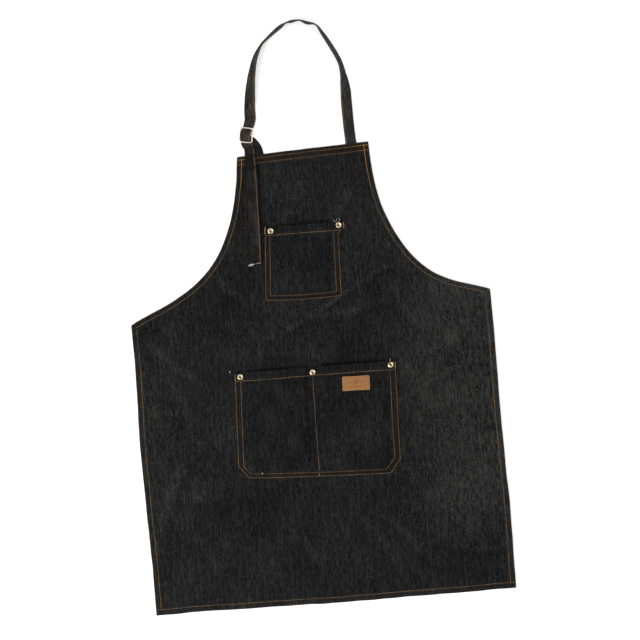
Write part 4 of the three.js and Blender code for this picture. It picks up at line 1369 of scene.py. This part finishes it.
# loose bits of thread on the cloth: three points, radius, unevenness
looseThreads = [
    ([(66, 712, 4.6), (67.5, 715, 5.4), (65.4, 718.5, 4.2)], 0.22, 0.25),
    ([(60, 711, 4.7), (56.5, 714.4, 5.1), (54.6, 713.2, 4.2)], 0.2, 0.25),
    ([(62.2, 712.4, 4.6), (61.6, 716, 5.4), (63.6, 718.4, 4.2)], 0.18, 0.25),
    ([(-72.8, 709.4, 4.9), (-73.6, 712.6, 5.0), (-72.2, 714.6, 4.2)], 0.2, 0.25),
    ([(-162.6, 447.2, 2.6), (-161.8, 444.8, 3.0), (-162.4, 443.2, 2.6)], 0.5, 0.1),
    ([(-117, 251.6, 4.0), (-116.1, 250.2, 4.4), (-116.8, 249.0, 3.8)], 0.55, 0.1),
    ([(142, 440, 5.0), (141, 444, 5.2), (142.4, 447, 3.4)], 0.24, 0.25),
]


def looseBits():
    rng = np.random.default_rng(9)
    strands = [strand(points, radius, rng, wiggle) for points, radius, wiggle in looseThreads]
    strandPiece("loose_thread_bits", strands, "apron")


# from, to and height of each
tacks = [
    ((74.6, 699), (74.4, 710), 4.9), ((-74.6, 699.5), (-74.4, 710), 4.9), ((-9.1, 236.4), (-9.0, 241.5), 3.6),
    ((-152.6, 428), (-152.4, 440), 4.9), ((150.2, 427), (150.4, 439), 4.9),
]


def barTacks():
    # close zigzag stitching at the pocket corners and the divider's foot
    starts, ends = [], []
    for a, b, z in tacks:
        for t in np.linspace(0, 1, 13):
            x, y = a[0] + (b[0] - a[0]) * t, a[1] + (b[1] - a[1]) * t
            starts.append(lay(x - 0.95, y - 0.2, z))
            ends.append(lay(x + 0.95, y + 0.25, z))
    up = np.tile([0, 0, 1.0], (len(starts), 1))
    piece = stitchMesh("bar_tacks", starts, ends, up, 0.9, np.full(len(starts), 0.15))
    finishPiece(piece, "apron")


frayedEnd()
looseBits()
barTacks()
print("threads trimmed")

studio = {"floorHeight": -0.0009, "floorSize": 9.0, "world": 0.72, "key": 105, "fill": 22, "floorGlow": 0.3}


def makeFloor():
    material, tree, shader = startMaterial("paleFloor")
    place = tree.nodes.new("ShaderNodeTexCoord").outputs["Object"]
    cloudy = noiseOf(tree, place, 3.0, 3)
    put(tree, shader.inputs["Base Color"], mixOf(tree, cloudy, (0.93, 0.93, 0.93, 1), (0.955, 0.955, 0.955, 1)))
    shader.inputs["Roughness"].default_value = 0.9
    shader.inputs["Specular IOR Level"].default_value = 0.1
    shader.inputs["Emission Color"].default_value = (1, 1, 1, 1)
    shader.inputs["Emission Strength"].default_value = studio["floorGlow"]
    size, z = studio["floorSize"] / 2, studio["floorHeight"]
    verts = [(-size, -size, z), (size, -size, z), (size, size, z), (-size, size, z)]
    floor = makePiece("floor", verts, [(0, 1, 2, 3)], material)


def areaLight(name, at, size, power, colour=(1, 1, 1)):
    data = bpy.data.lights.new(name, "AREA")
    data.shape = "RECTANGLE"
    data.size, data.size_y = size
    data.energy = power
    data.color = colour
    lamp = bpy.data.objects.new(name, data)
    scene.collection.objects.link(lamp)
    lamp.location = at
    lamp.rotation_euler = (Vector((0, 0, 0)) - Vector(at)).to_track_quat("-Z", "Y").to_euler()


makeFloor()
world = bpy.data.worlds.new("studio")
scene.world = world
world.use_nodes = True
world.node_tree.nodes["Background"].inputs["Color"].default_value = (1, 1, 1, 1)
world.node_tree.nodes["Background"].inputs["Strength"].default_value = studio["world"]
areaLight("key", (-2.4, -1.9, 2.3), (2.2, 2.2), studio["key"])
areaLight("fill", (2.2, 1.2, 2.2), (1.6, 2.4), studio["fill"])
print("floor and lights set")

scene.view_layers[0].update()
